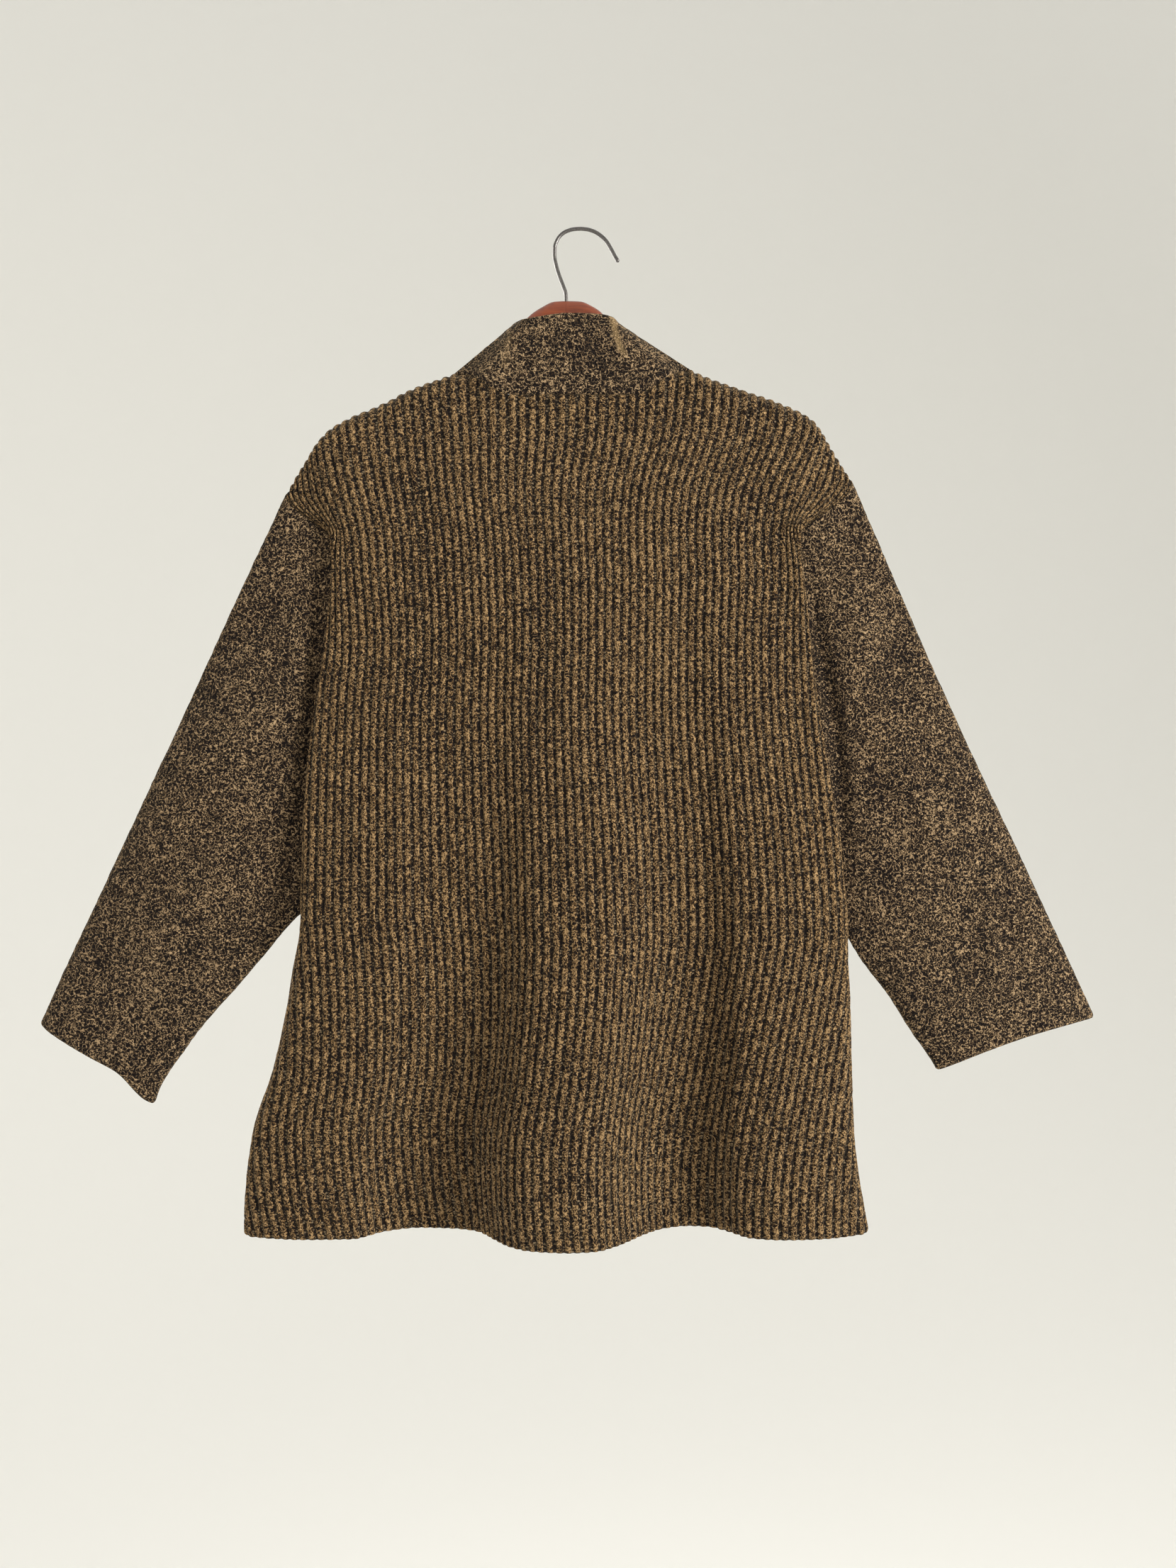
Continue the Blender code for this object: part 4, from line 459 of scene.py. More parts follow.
class Panel:
    """A body panel as a fine net of points, a row for each level and several columns for each rib."""

    def __init__(self, name):
        self.name = name
        self.grid = LevelGrid(name)
        fall = np.array(SHOULDER_ROWS) / TO_UNDERARM
        foot = ROWS_TO_UNDERARM[SLIT_ROWS_Z.index(SLIT_CLOSED_Z)]
        to_foot = np.linspace(fall[-1], foot, OPEN_ROWS - len(fall) + 2)[1:]
        to_underarm = np.linspace(foot, 1.0, UPPER_ROWS - OPEN_ROWS + 1)[1:]
        near_hem = 2.0 - np.array(HEM_ROWS) / TO_HEM
        to_hem = np.linspace(1.0, near_hem[0], LOWER_ROWS - len(near_hem) + 2)[1:-1]
        self.rows = np.concatenate([fall, to_foot, to_underarm, to_hem, near_hem])
        self.ribs = np.arange(-COLUMNS_PER_RIB * RIBS_HEM, COLUMNS_PER_RIB * RIBS_HEM + 1) / COLUMNS_PER_RIB
        self.middle = COLUMNS_PER_RIB * RIBS_HEM
        self.held = self.clamped(self.ribs[None, :], self.rows[:, None])
        self.points = self.at(self.held, self.rows[:, None], np.where(self.held > 0, 1.0, -1.0))
        if name == "front":
            zero = np.zeros((OPEN_ROWS, 1))
            self.right_lip = self.at(zero, self.rows[:OPEN_ROWS, None], np.ones_like(zero))[:, 0]

    def under(self, ribs):
        """Level of the underarm line, which slopes a little from side to side."""
        across = np.clip((ribs / RIBS_TOP + 1.0) / 2.0, 0.0, 1.0)
        return UNDERARM_Z["left"] + (UNDERARM_Z["right"] - UNDERARM_Z["left"]) * across

    def clamped(self, ribs, rows):
        """The rib itself, or the panel's edge where the rib lies beyond it."""
        below = np.clip(rows - 1.0, 0.0, 1.0)
        edge = RIBS_TOP + (RIBS_HEM - RIBS_TOP) * below
        return np.clip(ribs, -edge, edge)

    def at(self, ribs, rows, way):
        """Points for ribs and rows: 0 to 1 runs from the top edge to the underarm, 1 to 2 to the hem."""
        ribs, rows, way = np.broadcast_arrays(ribs, rows, way)
        known = np.unique(np.round(np.where(ribs == 0, way * 1e-6, ribs), 6))
        tops = np.array([top_edge(self.name, rib) for rib in known])
        probe = np.where(ribs == 0, way * 1e-6, ribs)
        index = np.clip(np.searchsorted(known, np.round(probe, 6)), 0, len(known) - 1)
        x_top, y_top, z_top = (tops[index, k] for k in range(3))
        under = self.under(ribs)
        above = z_top + (under - z_top) * np.clip(rows, 0.0, 1.0)
        if self.name == "front":
            near = 1.0 - ease(np.abs(ribs) / SLIT_REACH)
            slit = curve_through(ROWS_TO_UNDERARM, SLIT_ROWS_Z, np.clip(rows, 0.0, 1.0))
            above = above + (slit - above) * near
        z = np.where(rows <= 1.0, above, under + (HEM_Z - under) * (rows - 1.0))
        x, y = self.grid.at(ribs, z)
        level_x, _ = self.grid.at(ribs, z_top)
        if self.name == "front":
            x, level_x = self.parted(x, z, way), self.parted(level_x, z_top, way)
        fall = z_top - z
        x = x + (x_top - level_x) * (1.0 - ease(fall / np.maximum(z_top - VALLEY_Z, 60.0)))
        settled = ease(np.sqrt(np.clip(fall / RIDGE_FALL, 0.0, 1.0)))
        ridge_y = y_top + (y - y_top) * settled
        neck_y = y_top + (y - y_top) * ease(fall / NECK_FALL)
        inside = ease((RIBS_NECK - np.abs(ribs)) / 3.0)
        y = np.where(np.abs(ribs) >= RIBS_NECK, ridge_y, ridge_y * (1 - inside) + neck_y * inside)
        y = np.where(rows <= 0.0, y_top, y)
        x = np.where(rows <= 0.0, x_top, x)
        return np.stack([x, y, z], axis=-1)

    def parted(self, x, z, way):
        """X of a point once the slit has pushed it aside; way is -1 or 1."""
        centre, _ = self.grid.at(np.zeros_like(z), z)
        near = np.maximum(0.0, 1.0 - np.abs(x - centre) / SLIT_PUSH)
        held = ease((z - SLIT_SETTLED_Z) / (SLIT_CLOSED_Z - SLIT_SETTLED_Z))
        up = (z - SLIT_BOTTOM_Z) / (SLIT_TOP_Z - SLIT_BOTTOM_Z)
        open_half = SLIT_HALF_BOTTOM + (SLIT_HALF_NECK - SLIT_HALF_BOTTOM) * up
        foot_half = SLIT_HALF_BOTTOM * np.clip(
            (z - SLIT_CLOSED_Z) / (SLIT_BOTTOM_Z - SLIT_CLOSED_Z), 0.0, 1.0)
        half = np.where(z < SLIT_BOTTOM_Z, foot_half, open_half)
        return x + ((BODY_CENTRE - centre) * held + way * half) * near

    def armhole(self, side, index):
        """Points of the armhole seam at the shares of the way that ten coarse stations number."""
        share = curve_through(range(len(ROWS_TO_UNDERARM)), ROWS_TO_UNDERARM, index)
        rib = -RIBS_TOP if side == "left" else RIBS_TOP
        return self.at(np.full_like(share, rib), share, np.sign(rib) * np.ones_like(share))


PANELS = {}


def cut_panel(name):
    """The back or the front, worked out once."""
    if name not in PANELS:
        PANELS[name] = Panel(name)
    return PANELS[name]


# ================================================================= sleeves and collar
def sleeve_net(side, shares, turns):
    """Points of a sleeve. turns runs from 0 at the tip along the back to 0.5 at the underarm and on
    along the front to 1."""
    last = len(ROWS_TO_UNDERARM) - 1
    back_half = turns <= 0.5
    index = np.where(back_half, 2 * turns, 2 - 2 * turns) * last
    face = np.where(back_half, -1.0, 1.0)
    hole = np.where(back_half[:, None], cut_panel("back").armhole(side, index),
                    cut_panel("front").armhole(side, index))
    q_hole = (hole[:, 2] - hole[0, 2]) / (hole[np.argmax(index), 2] - hole[0, 2])
    q_even = 0.5 - 0.5 * np.cos(math.pi * index / last)
    table = SLEEVES[side]
    first = dict(zip(SLEEVE_COLUMNS, table[0]))

    def swell(q):
        """Share of the half depth across a flattened ring, 0 at both folds."""
        return (1.0 - np.abs(2 * q - 1) ** 2.6).clip(0.0, 1.0) ** (1 / 2.2)

    rings = []
    for share in shares:
        read = {name: float(column(table, SLEEVE_COLUMNS, name, share)) for name in SLEEVE_COLUMNS}
        outer = np.array([read["outer_x"], 0.0, read["outer_z"]])
        inner = np.array([read["inner_x"], 0.0, read["inner_z"]])
        along = np.array([inner[2] - outer[2], 0.0, outer[0] - inner[0]])
        along /= np.linalg.norm(along)
        along = -along if along[2] > 0 else along
        q = q_hole + (q_even - q_hole) * float(ease(share * 2.0))
        points = outer + (inner - outer) * q[:, None]
        points[:, 1] = read["middle"] + face * read["half"] * swell(q)
        start = np.array([first["outer_x"], 0.0, first["outer_z"]])
        end = np.array([first["inner_x"], 0.0, first["inner_z"]])
        base = start + (end - start) * q_hole[:, None]
        base[:, 1] = first["middle"] + face * first["half"] * swell(q_hole)
        reach = np.where(back_half, VALLEY_REACH[side], FRONT_REACH)
        points = points + (hole - base) * (1.0 - ease(share / reach / 2.2))[:, None]
        bow = CUFF_SAG[side] * 4 * q * (1 - q)
        dip = CUFF_DIP[side] * ease((q - CUFF_DIP_START) / (1 - CUFF_DIP_START))
        near_cuff = float(ease((share - CUFF_START) / (1 - CUFF_START)))
        rings.append(points + along * ((bow + dip) * near_cuff)[:, None])
    return np.array(rings)


def collar_net(around, heights):
    """Points of the collar: around runs from the left front corner round the back to the right one."""
    left, right = COLLAR_FOLDS
    seam = []
    for a in around:
        if a <= left:
            seam.append(top_edge("front", min(-RIBS_NECK * a / left, -1e-6)))
        elif a < right:
            seam.append(top_edge("back", RIBS_NECK * (2 * (a - left) / (right - left) - 1)))
        else:
            seam.append(top_edge("front", max(RIBS_NECK * (1 - a) / (1 - right), 1e-6)))
    seam = np.array(seam)
    top = np.array(COLLAR_TOP)
    crown = np.stack([curve_through(top[:, 0], top[:, k], around) for k in (1, 2, 3)], axis=1)
    return seam[None] + (crown - seam)[None] * np.asarray(heights)[:, None, None]


# ================================================================= walls
def net_normals(points, outward):
    """Unit normals of a net, turned so that on the whole they point outward."""
    normals = unit(np.cross(np.gradient(points, axis=1), np.gradient(points, axis=0)))
    normals[0], normals[-1] = normals[1], normals[-2]
    return normals if float((normals * outward).sum()) > 0 else -normals


def creased(name, points, normals):
    """Heights of the creases that a piece has, to add along its normals."""
    height = np.zeros(points.shape[:-1])
    for piece, face, x1, z1, x2, z2, wide, high in CREASES:
        if piece != name:
            continue
        start, line = np.array([x1, z1], float), np.array([x2 - x1, z2 - z1], float)
        flat = points[..., [0, 2]] - start
        along = (flat @ line) / (line @ line)
        aside = (flat[..., 0] * line[1] - flat[..., 1] * line[0]) / np.linalg.norm(line)
        bend = 0.35 * wide * np.sin(along * math.pi * 1.6 + wide)
        ends = ease((along + 0.25) / 0.5) * ease((1.25 - along) / 0.5)
        side = np.clip(normals[..., 1] * face * 3.0, 0.0, 1.0)
        height += high * np.exp(-((aside - bend) / wide) ** 2) * ends * side
    return height


def edge_rounding(distance, depth):
    """How far cloth sinks at a distance from its edge, for an edge that rounds over."""
    left = np.clip(1.0 - distance / (2.2 * depth), 0.0, 1.0)
    return depth * left * left


def grid_skin(mesh, points, weave=None):
    """A skin of faces on a net of points, made from a grid. Returns its vertices, row by row."""
    rows, columns = points.shape[:2]
    made = bmesh.ops.create_grid(mesh, x_segments=columns - 1, y_segments=rows - 1, size=1.0)["verts"]
    for vertex, place in zip(made, (points * MM).reshape(-1, 3)):
        vertex.co = place
    if weave is not None:
        layer = mesh.verts.layers.float_vector["weave"]
        for vertex, value in zip(made, weave.reshape(-1, 3)):
            vertex[layer] = value
    return np.array(made, dtype=object).reshape(rows, columns)


def rim(mesh, outer, inner, step):
    """Faces between a fine edge and a coarse one that share every step-th point."""
    for k in range(len(inner) - 1):
        run = [*outer[k * step:(k + 1) * step + 1], inner[k + 1], inner[k]]
        corners = [v for n, v in enumerate(run) if (v.co - run[n - 1].co).length > 1e-7]
        if len(corners) > 2:
            mesh.faces.new(corners)


def finished(name, mesh, body, slot, smooth=True):
    """An object from a bmesh, on its body and with the finish of its slot."""
    data = bpy.data.meshes.new(name)
    mesh.to_mesh(data)
    mesh.free()
    if smooth:
        data.shade_smooth()
    obj = bpy.data.objects.new(name, data)
    bpy.context.scene.collection.objects.link(obj)
    data.materials.append(finish_of(slot))
    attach(obj, body)
    return obj


def close_up(mesh):
    """Points that meet are merged, and all faces are turned outward."""
    bmesh.ops.remove_doubles(mesh, verts=mesh.verts, dist=MEET * MM)
    bmesh.ops.dissolve_degenerate(mesh, edges=mesh.edges, dist=MEET * MM)
    bmesh.ops.recalc_face_normals(mesh, faces=mesh.faces)


def capped_tube(net):
    """A closed mesh from a net whose rows are rings that end where they start, with a cap at each end."""
    mesh = bmesh.new()
    skin = grid_skin(mesh, net)
    mesh.faces.new(list(skin[0, :-1]))
    mesh.faces.new(list(skin[-1, :-1])[::-1])
    close_up(mesh)
    return mesh


def cloth_shell(outer, inner, weave, ring=False, lip=None):
    """A wall of cloth: a fine outer skin, a coarse inner skin and rims. lip holds the column of an open
    slit and the outer and inner points of the slit's right edge, for the first rows."""
    mesh = bmesh.new()
    mesh.verts.layers.float_vector.new("weave")
    row_step, column_step = INSIDE_ROWS, INSIDE_COLUMNS
    halves = [(slice(None), None)]
    if lip is not None:
        middle = lip["column"]
        halves = [(slice(0, middle + 1), None), (slice(middle, None), lip)]
    for part, edge in halves:
        skin, lining = outer[:, part].copy(), inner[:, part].copy()
        if edge is not None:
            skin[:len(edge["outer"]), 0] = edge["outer"]
            lining[:len(edge["inner"]), 0] = edge["inner"]
        lining = lining[::row_step, ::column_step]
        fine = grid_skin(mesh, skin, weave[:, part])
        coarse = grid_skin(mesh, lining, weave[:, part][::row_step, ::column_step])
        rim(mesh, fine[0], coarse[0], column_step)
        rim(mesh, fine[-1], coarse[-1], column_step)
        if not ring:
            open_rows = len(lip["outer"]) if lip is not None else None
            for k in (0, -1):
                inside_edge = lip is not None and (k == 0) == (edge is not None)
                if inside_edge:
                    last = open_rows // row_step
                    rim(mesh, fine[:open_rows + 1, k], coarse[:last + 1, k], row_step)
                else:
                    rim(mesh, fine[:, k], coarse[:, k], row_step)
    close_up(mesh)
    return mesh


# ================================================================= finishes
class Finish:
    """A material under construction: its nodes, joined by short calls."""

    def __init__(self, name):
        self.material = bpy.data.materials.new(name)
        self.material.use_nodes = True
        self.tree = self.material.node_tree
        self.shader = self.tree.nodes["Principled BSDF"]

    def node(self, kind, values=None, **settings):
        """A node with its settings, and values or links for its inputs."""
        made = self.tree.nodes.new("ShaderNode" + kind)
        for key, value in settings.items():
            setattr(made, key, value)
        for key, value in (values or {}).items():
            self.put(made.inputs[key], value)
        return made

    def put(self, socket, value):
        """A socket's link or its fixed value."""
        if isinstance(value, bpy.types.NodeSocket):
            self.tree.links.new(value, socket)
        else:
            socket.default_value = value

    def place(self):
        """Coordinates on the object, in metres."""
        return self.node("TexCoord").outputs["Object"]

    def weave(self):
        """Rib number, height above the hem in metres, and height of the creases in millimetres, by which the
        knits paint light on crease ridges and shade in crease troughs.
        """
        stored = self.node("Attribute", attribute_name="weave").outputs["Vector"]
        return self.node("SeparateXYZ", {0: stored}).outputs

    def math(self, operation, first, second=0.0, third=0.0):
        """The result of a sum, a product or the like."""
        made = self.node("Math", {0: first, 1: second, 2: third}, operation=operation)
        return made.outputs[0]

    def blend(self, share, first, second):
        """The first colour where share is 0, the second where it is 1."""
        made = self.node("Mix", data_type="RGBA")
        for socket, value in zip((0, 6, 7), (share, first, second)):
            self.put(made.inputs[socket], value)
        return made.outputs[2]

    def noise(self, vector, scale, detail=1.0, roughness=0.55, distortion=0.0):
        return self.node("TexNoise", {"Vector": vector, "Scale": scale, "Detail": detail,
                                      "Roughness": roughness, "Distortion": distortion}).outputs[0]

    def between(self, value, low, high, to_low=0.0, to_high=1.0):
        """A value's soft way from to_low at low to to_high at high."""
        return self.node("MapRange", {"Value": value, "From Min": low, "From Max": high, "To Min": to_low,
                                      "To Max": to_high}, interpolation_type="SMOOTHSTEP").outputs[0]

    def ramp(self, value, *stops):
        """Colours along a value, from stops of a place and a colour."""
        made = self.node("ValToRGB", {"Fac": value})
        band = made.color_ramp
        while len(band.elements) > 1:
            band.elements.remove(band.elements[-1])
        for k, (at, tone) in enumerate(stops):
            point = band.elements[0] if k == 0 else band.elements.new(at)
            point.position = at
            point.color = (*tone, 1.0)
        return made.outputs[0]

    def tinted(self, colour, brightness):
        """A colour made lighter or darker by a value."""
        made = self.node("VectorMath", {0: colour}, operation="SCALE")
        self.put(made.inputs["Scale"], brightness)
        return made.outputs[0]

    def bump(self, height, distance):
        return self.node("Bump", {"Height": height, "Distance": distance, "Strength": 1.0}).outputs[0]

    def shade(self, colour, roughness, normal=None, **fixed):
        """The finished material; each name in fixed is a socket, with underscores for spaces."""
        self.put(self.shader.inputs["Base Color"], colour)
        self.put(self.shader.inputs["Roughness"], roughness)
        if normal is not None:
            self.put(self.shader.inputs["Normal"], normal)
        for key, value in fixed.items():
            self.put(self.shader.inputs[key.replace("_", " ")], value)
        return self.material


FINISHES = {}


def finish_of(kind):
    """The material of a kind, made once."""
    makers = {"ribbed_knit": ribbed_knit, "plain_knit": plain_knit, "zip_tape": woven_tape,
              "zip_metal": aged_brass, "wood": stained_wood, "wire": grey_wire, "studio": studio_paint}
    if kind not in FINISHES:
        FINISHES[kind] = makers[kind](bpy.context.scene.sweater_colours)
    return FINISHES[kind]


def loops_of(f, place):
    """Small curly loops of yarn: a random value for each, swirled, and the height of each loop's round."""
    drift = f.node("TexNoise", {"Vector": place, "Scale": 420.0, "Detail": 1.0})
    pushed = f.node("VectorMath", {0: drift.outputs["Color"], 1: (0.5, 0.5, 0.5)},
                    operation="SUBTRACT").outputs[0]
    moved = f.node("VectorMath", {0: pushed, 1: (0.0026, 0.0026, 0.0026), 2: place},
                   operation="MULTIPLY_ADD").outputs[0]
    loops = f.node("TexVoronoi", {"Vector": moved, "Scale": 620.0})
    chance = f.node("SeparateColor", {0: loops.outputs["Color"]}).outputs[0]
    fine = f.noise(place, 1150.0, 1.0, 0.5)
    winding = f.math("ABSOLUTE", f.math("SUBTRACT", f.noise(moved, 350.0, 1.0, 0.5), 0.5))
    curl = f.between(winding, 0.01, 0.09, 1.0, 0.0)
    value = f.math("ADD", f.math("MULTIPLY", chance, 0.6), f.math("MULTIPLY", curl, 0.7))
    value = f.math("MULTIPLY_ADD", f.math("SUBTRACT", fine, 0.63), 0.7, value)
    return value, f.math("SUBTRACT", f.math("MULTIPLY", curl, 0.5), loops.outputs["Distance"])


def knit_shade(f, colours, colour, normal):
    """Rough yarn whose fine fibres catch the light at the edges."""
    return f.shade(colour, 0.95, normal, Sheen_Weight=0.16, Sheen_Roughness=0.3,
                   Sheen_Tint=(*colours.sheen, 1.0), Specular_IOR_Level=0.2)


def ribbed_knit(colours):
    """Beige boucle ribs with near-black furrows, dotted along their middle with pale loops, with painted
    light on crease ridges and painted shade in crease troughs.
    """
    f = Finish("ribbed_knit")
    place = f.place()
    rib, along, lift = f.weave()
    wander = f.math("MULTIPLY", f.math("SUBTRACT", f.noise(place, 420.0, 2.0), 0.5), 0.42)
    strayed = f.math("FRACT", f.math("ADD", rib, wander))
    from_furrow = f.math("ABSOLUTE", f.math("SUBTRACT", strayed, 0.5))
    furrow = f.between(from_furrow, 0.09, 0.24, 1.0, 0.0)
    value, height = loops_of(f, place)
    value = f.math("ADD", value, f.between(f.noise(place, 16.0, 3.0), 0.3, 0.7, 0.10, 0.16))
    # Painted light and shade: the ribs are made lighter on crease ridges and darker in crease troughs, by the
    # creases' height.
    value = f.math("ADD", value, f.math("MULTIPLY", lift, 0.06))
    value = f.math("SUBTRACT", value, f.math("MULTIPLY", furrow, 0.95))
    colour = f.ramp(value, (0.22, colours.furrow), (0.40, colours.rib_shade), (0.62, colours.rib_middle),
                    (1.0, colours.rib_light))
    number = f.math("FLOOR", rib)
    shift = f.node("TexWhiteNoise", {"W": number}, noise_dimensions="1D").outputs["Value"]
    slid = f.math("MULTIPLY_ADD", along, 400.0, f.math("MULTIPLY", shift, 7.0))
    bead_at = f.node("CombineXYZ", {0: number, 1: f.math("FLOOR", slid)}).outputs[0]
    bead = f.node("SeparateColor", {0: f.node("TexWhiteNoise", {"Vector": bead_at},
                                              noise_dimensions="2D").outputs["Color"]})
    below = f.math("SUBTRACT", f.math("FRACT", slid), f.math("MULTIPLY_ADD", bead.outputs[0], 0.6, 0.2))
    aside = f.math("SUBTRACT", strayed, f.math("MULTIPLY_ADD", bead.outputs[1], 0.20, 0.40))
    apart = f.math("SQRT", f.math("ADD", f.math("POWER", f.math("MULTIPLY", below, 2.5), 2.0),
                                  f.math("POWER", f.math("MULTIPLY", aside, 7.7), 2.0)))
    dot = f.math("MULTIPLY", f.between(apart, 0.3, 1.15, 1.0, 0.0), f.between(bead.outputs[2], 0.2, 0.9))
    colour = f.blend(f.math("MULTIPLY", dot, 0.8), colour, (*colours.pale_loop, 1.0))
    height = f.math("ADD", height, f.math("MULTIPLY", f.math("SUBTRACT", dot, furrow), 0.5))
    return knit_shade(f, colours, colour, f.bump(height, 0.0012))


def plain_knit(colours):
    """Boucle knit of beige and near-black flecks, with no ribs, with painted light on crease ridges and
    painted shade in crease troughs.
    """
    f = Finish("plain_knit")
    place = f.place()
    value, height = loops_of(f, place)
    patches = f.between(f.noise(place, 22.0, 3.0), 0.25, 0.75, -0.07, 0.07)
    lift = f.weave()[2]
    # Painted light and shade: the knit is made lighter on crease ridges and darker in crease troughs, by the
    # creases' height.
    value = f.math("ADD", f.math("ADD", value, patches), f.math("MULTIPLY", lift, 0.16))
    colour = f.ramp(value, (0.27, colours.furrow), (0.43, colours.fleck_dark), (0.66, colours.fleck_middle),
                    (0.98, colours.fleck_light))
    # Painted highlight: the sharpest crease ridges are blended towards a golden colour.
    colour = f.blend(f.between(lift, 0.6, 2.2, 0.0, 0.6), colour, (*colours.ridge_highlight, 1.0))
    return knit_shade(f, colours, colour, f.bump(height, 0.0013))


def woven_tape(colours):
    """Fine woven tape of the zip."""
    f = Finish("zip_tape")
    place = f.place()
    threads = f.node("TexWave", {"Vector": place, "Scale": 420.0, "Distortion": 0.6},
                     bands_direction="DIAGONAL")
    colour = f.blend(threads.outputs[1], (*colours.tape, 1.0), (*colours.tape_thread, 1.0))
    return f.shade(colour, 0.85, f.bump(threads.outputs[1], 0.0002), Sheen_Weight=0.15, Sheen_Roughness=0.4)


def aged_brass(colours):
    """Dull brass of the zip, darker in patches."""
    f = Finish("zip_metal")
    place = f.place()
    tarnish = f.noise(place, 500.0, 4.0, 0.65)
    colour = f.ramp(tarnish, (0.35, colours.brass_dark), (0.62, colours.brass))
    return f.shade(colour, f.between(tarnish, 0.3, 0.7, 0.48, 0.28), f.bump(tarnish, 0.0001), Metallic=1.0)


def stained_wood(colours):
    """Reddish stained and varnished wood, with its grain along the arms."""
    f = Finish("wood")
    place = f.place()
    stretched = f.node("Mapping", {"Vector": place, "Scale": (0.10, 1.0, 1.0)}).outputs[0]
    grain = f.noise(stretched, 420.0, 4.0, 0.65, 0.4)
    pores = f.noise(f.node("Mapping", {"Vector": place, "Scale": (0.05, 1.0, 1.0)}).outputs[0], 1500.0, 2.0)
    cloud = f.noise(place, 35.0, 2.0)
    colour = f.ramp(grain, (0.32, colours.wood_dark), (0.5, colours.wood), (0.68, colours.wood_light))
    colour = f.blend(f.between(pores, 0.58, 0.70, 0.0, 0.55), colour, (*colours.wood_dark, 1.0))
    colour = f.tinted(colour, f.between(cloud, 0.3, 0.7, 0.85, 1.12))
    return f.shade(colour, f.between(grain, 0.3, 0.7, 0.42, 0.30), f.bump(grain, 0.00015),
                   Coat_Weight=0.25, Coat_Roughness=0.25)


def grey_wire(colours):
    """Dull grey steel wire, drawn along its length."""
    f = Finish("wire")
    place = f.place()
    marks = f.noise(place, 900.0, 3.0, 0.6)
    colour = f.ramp(marks, (0.35, colours.wire_dark), (0.6, colours.wire))
    return f.shade(colour, f.between(marks, 0.3, 0.7, 0.45, 0.32), f.bump(marks, 0.00005), Metallic=1.0)


def studio_paint(colours):
    """Pale matt paint of the studio."""
    f = Finish("studio")
    return f.shade((*colours.studio, 1.0), 1.0, Specular_IOR_Level=0.0)


# ================================================================= pieces
def inner_from(base, normals, thickness, height):
    """The inner skin: it follows the creases, but not the ribs and loops."""
    return base + normals * (height - thickness)[..., None]


def panel_piece(name, sizes):
    """Back or front: ribs raised in its outer skin, rolled edges, a stitched hem and soft creases."""
    cut = cut_panel(name)
    other = cut_panel("front" if name == "back" else "back")
    base = cut.points.copy()
    outward = np.array([0.0, -1.0 if name == "back" else 1.0, 0.0])
    normals = net_normals(base, outward)
    partner = net_normals(other.points, -outward)
    shoulders = np.abs(cut.ribs) >= RIBS_NECK
    normals[0, shoulders] = unit(normals[0, shoulders] + partner[0, shoulders])
    from_top, from_left = run_down(base), run_across(base)
    from_hem = from_top[-1] - from_top
    from_side = np.minimum(from_left, from_left[:, -1:] - from_left)
    edge = RIBS_TOP + (RIBS_HEM - RIBS_TOP) * np.clip(cut.rows - 1.0, 0.0, 1.0)[:, None]
    shown = np.clip((edge - np.abs(cut.held)) / 0.5, 0.0, 1.0)
    from_crest = np.abs(cut.held - np.round(cut.held))
    groove = sizes.rib_depth / MM * ease((from_crest - RIB_FLAT) / (0.5 - RIB_FLAT)) * shown
    height = creased(name, base, normals)
    loops = lumps(base, *SWELLS[name]) * sizes.loop_height / MM
    sunk = edge_rounding(from_top, SEAM_ROLL) + edge_rounding(from_side, SEAM_ROLL)
    sunk = sunk + edge_rounding(from_hem, EDGE_ROLL)
    sunk = sunk + STITCH_DEEP * np.exp(-((from_hem - STITCH_LINE) / STITCH_HALF) ** 2)
    lip = None
    if name == "front":
        from_lip = np.abs(np.arange(len(cut.ribs)) - cut.middle) * RIB_PITCH / COLUMNS_PER_RIB
        sunk[:OPEN_ROWS] += edge_rounding(from_lip, EDGE_ROLL)[None]
    outer = base + normals * (height + loops - groove - sunk)[..., None]
    inner = inner_from(base, normals, sizes.cloth_thickness / MM, height)
    if name == "front":
        lip_normals = normals[:OPEN_ROWS, cut.middle]
        roll = (height[:OPEN_ROWS, cut.middle] - sunk[:OPEN_ROWS, cut.middle])[:, None]
        lip = {"column": cut.middle, "outer": cut.right_lip + lip_normals * roll,
               "inner": cut.right_lip - lip_normals * sizes.cloth_thickness / MM}
    weave = np.stack([cut.held, from_hem * MM, height], axis=-1)
    mesh = cloth_shell(outer, inner, weave, lip=lip)
    obj = finished(name + "_cloth", mesh, "garment", "ribbed_knit")
    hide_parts(name)
    return obj


def sleeve_piece(side, sizes):
    """A sleeve: one flat tube of plain knit with a turned cuff and soft creases."""
    name = "sleeve_" + side
    shares = np.concatenate([[0.0, 0.0015, 0.004, 0.008], np.linspace(0.014, 0.984, 168),
                             [0.989, 0.993, 0.996, 0.998, 1.0]])
    turns = np.linspace(0.0, 1.0, 241)
    base = sleeve_net(side, shares, turns)
    centre = base[:, :-1].mean(axis=1, keepdims=True)
    wrapped = np.concatenate([base[:, -2:-1], base, base[:, 1:2]], axis=1)
    normals = net_normals(wrapped, wrapped - centre)[:, 1:-1]
    from_top = run_down(base)
    from_cuff = from_top[-1] - from_top
    height = creased(name, base, normals)
    loops = lumps(base, *SWELLS[name]) * sizes.loop_height / MM
    sunk = edge_rounding(from_top, SEAM_ROLL) + edge_rounding(from_cuff, EDGE_ROLL)
    outer = base + normals * (height + loops - sunk)[..., None]
    inner = inner_from(base, normals, sizes.plain_thickness / MM, height)
    outer[:, -1], inner[:, -1] = outer[:, 0], inner[:, 0]
    # The third value is the creases' height, made smaller here, so the sleeves get weaker painted light and
    # shade on their creases.
    weave = np.stack([np.zeros_like(from_cuff), from_cuff * MM, height * 0.12], axis=-1)
    mesh = cloth_shell(outer, inner, weave, ring=True)
    obj = finished(name + "_cloth", mesh, "garment", "plain_knit")
    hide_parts(name)
    return obj


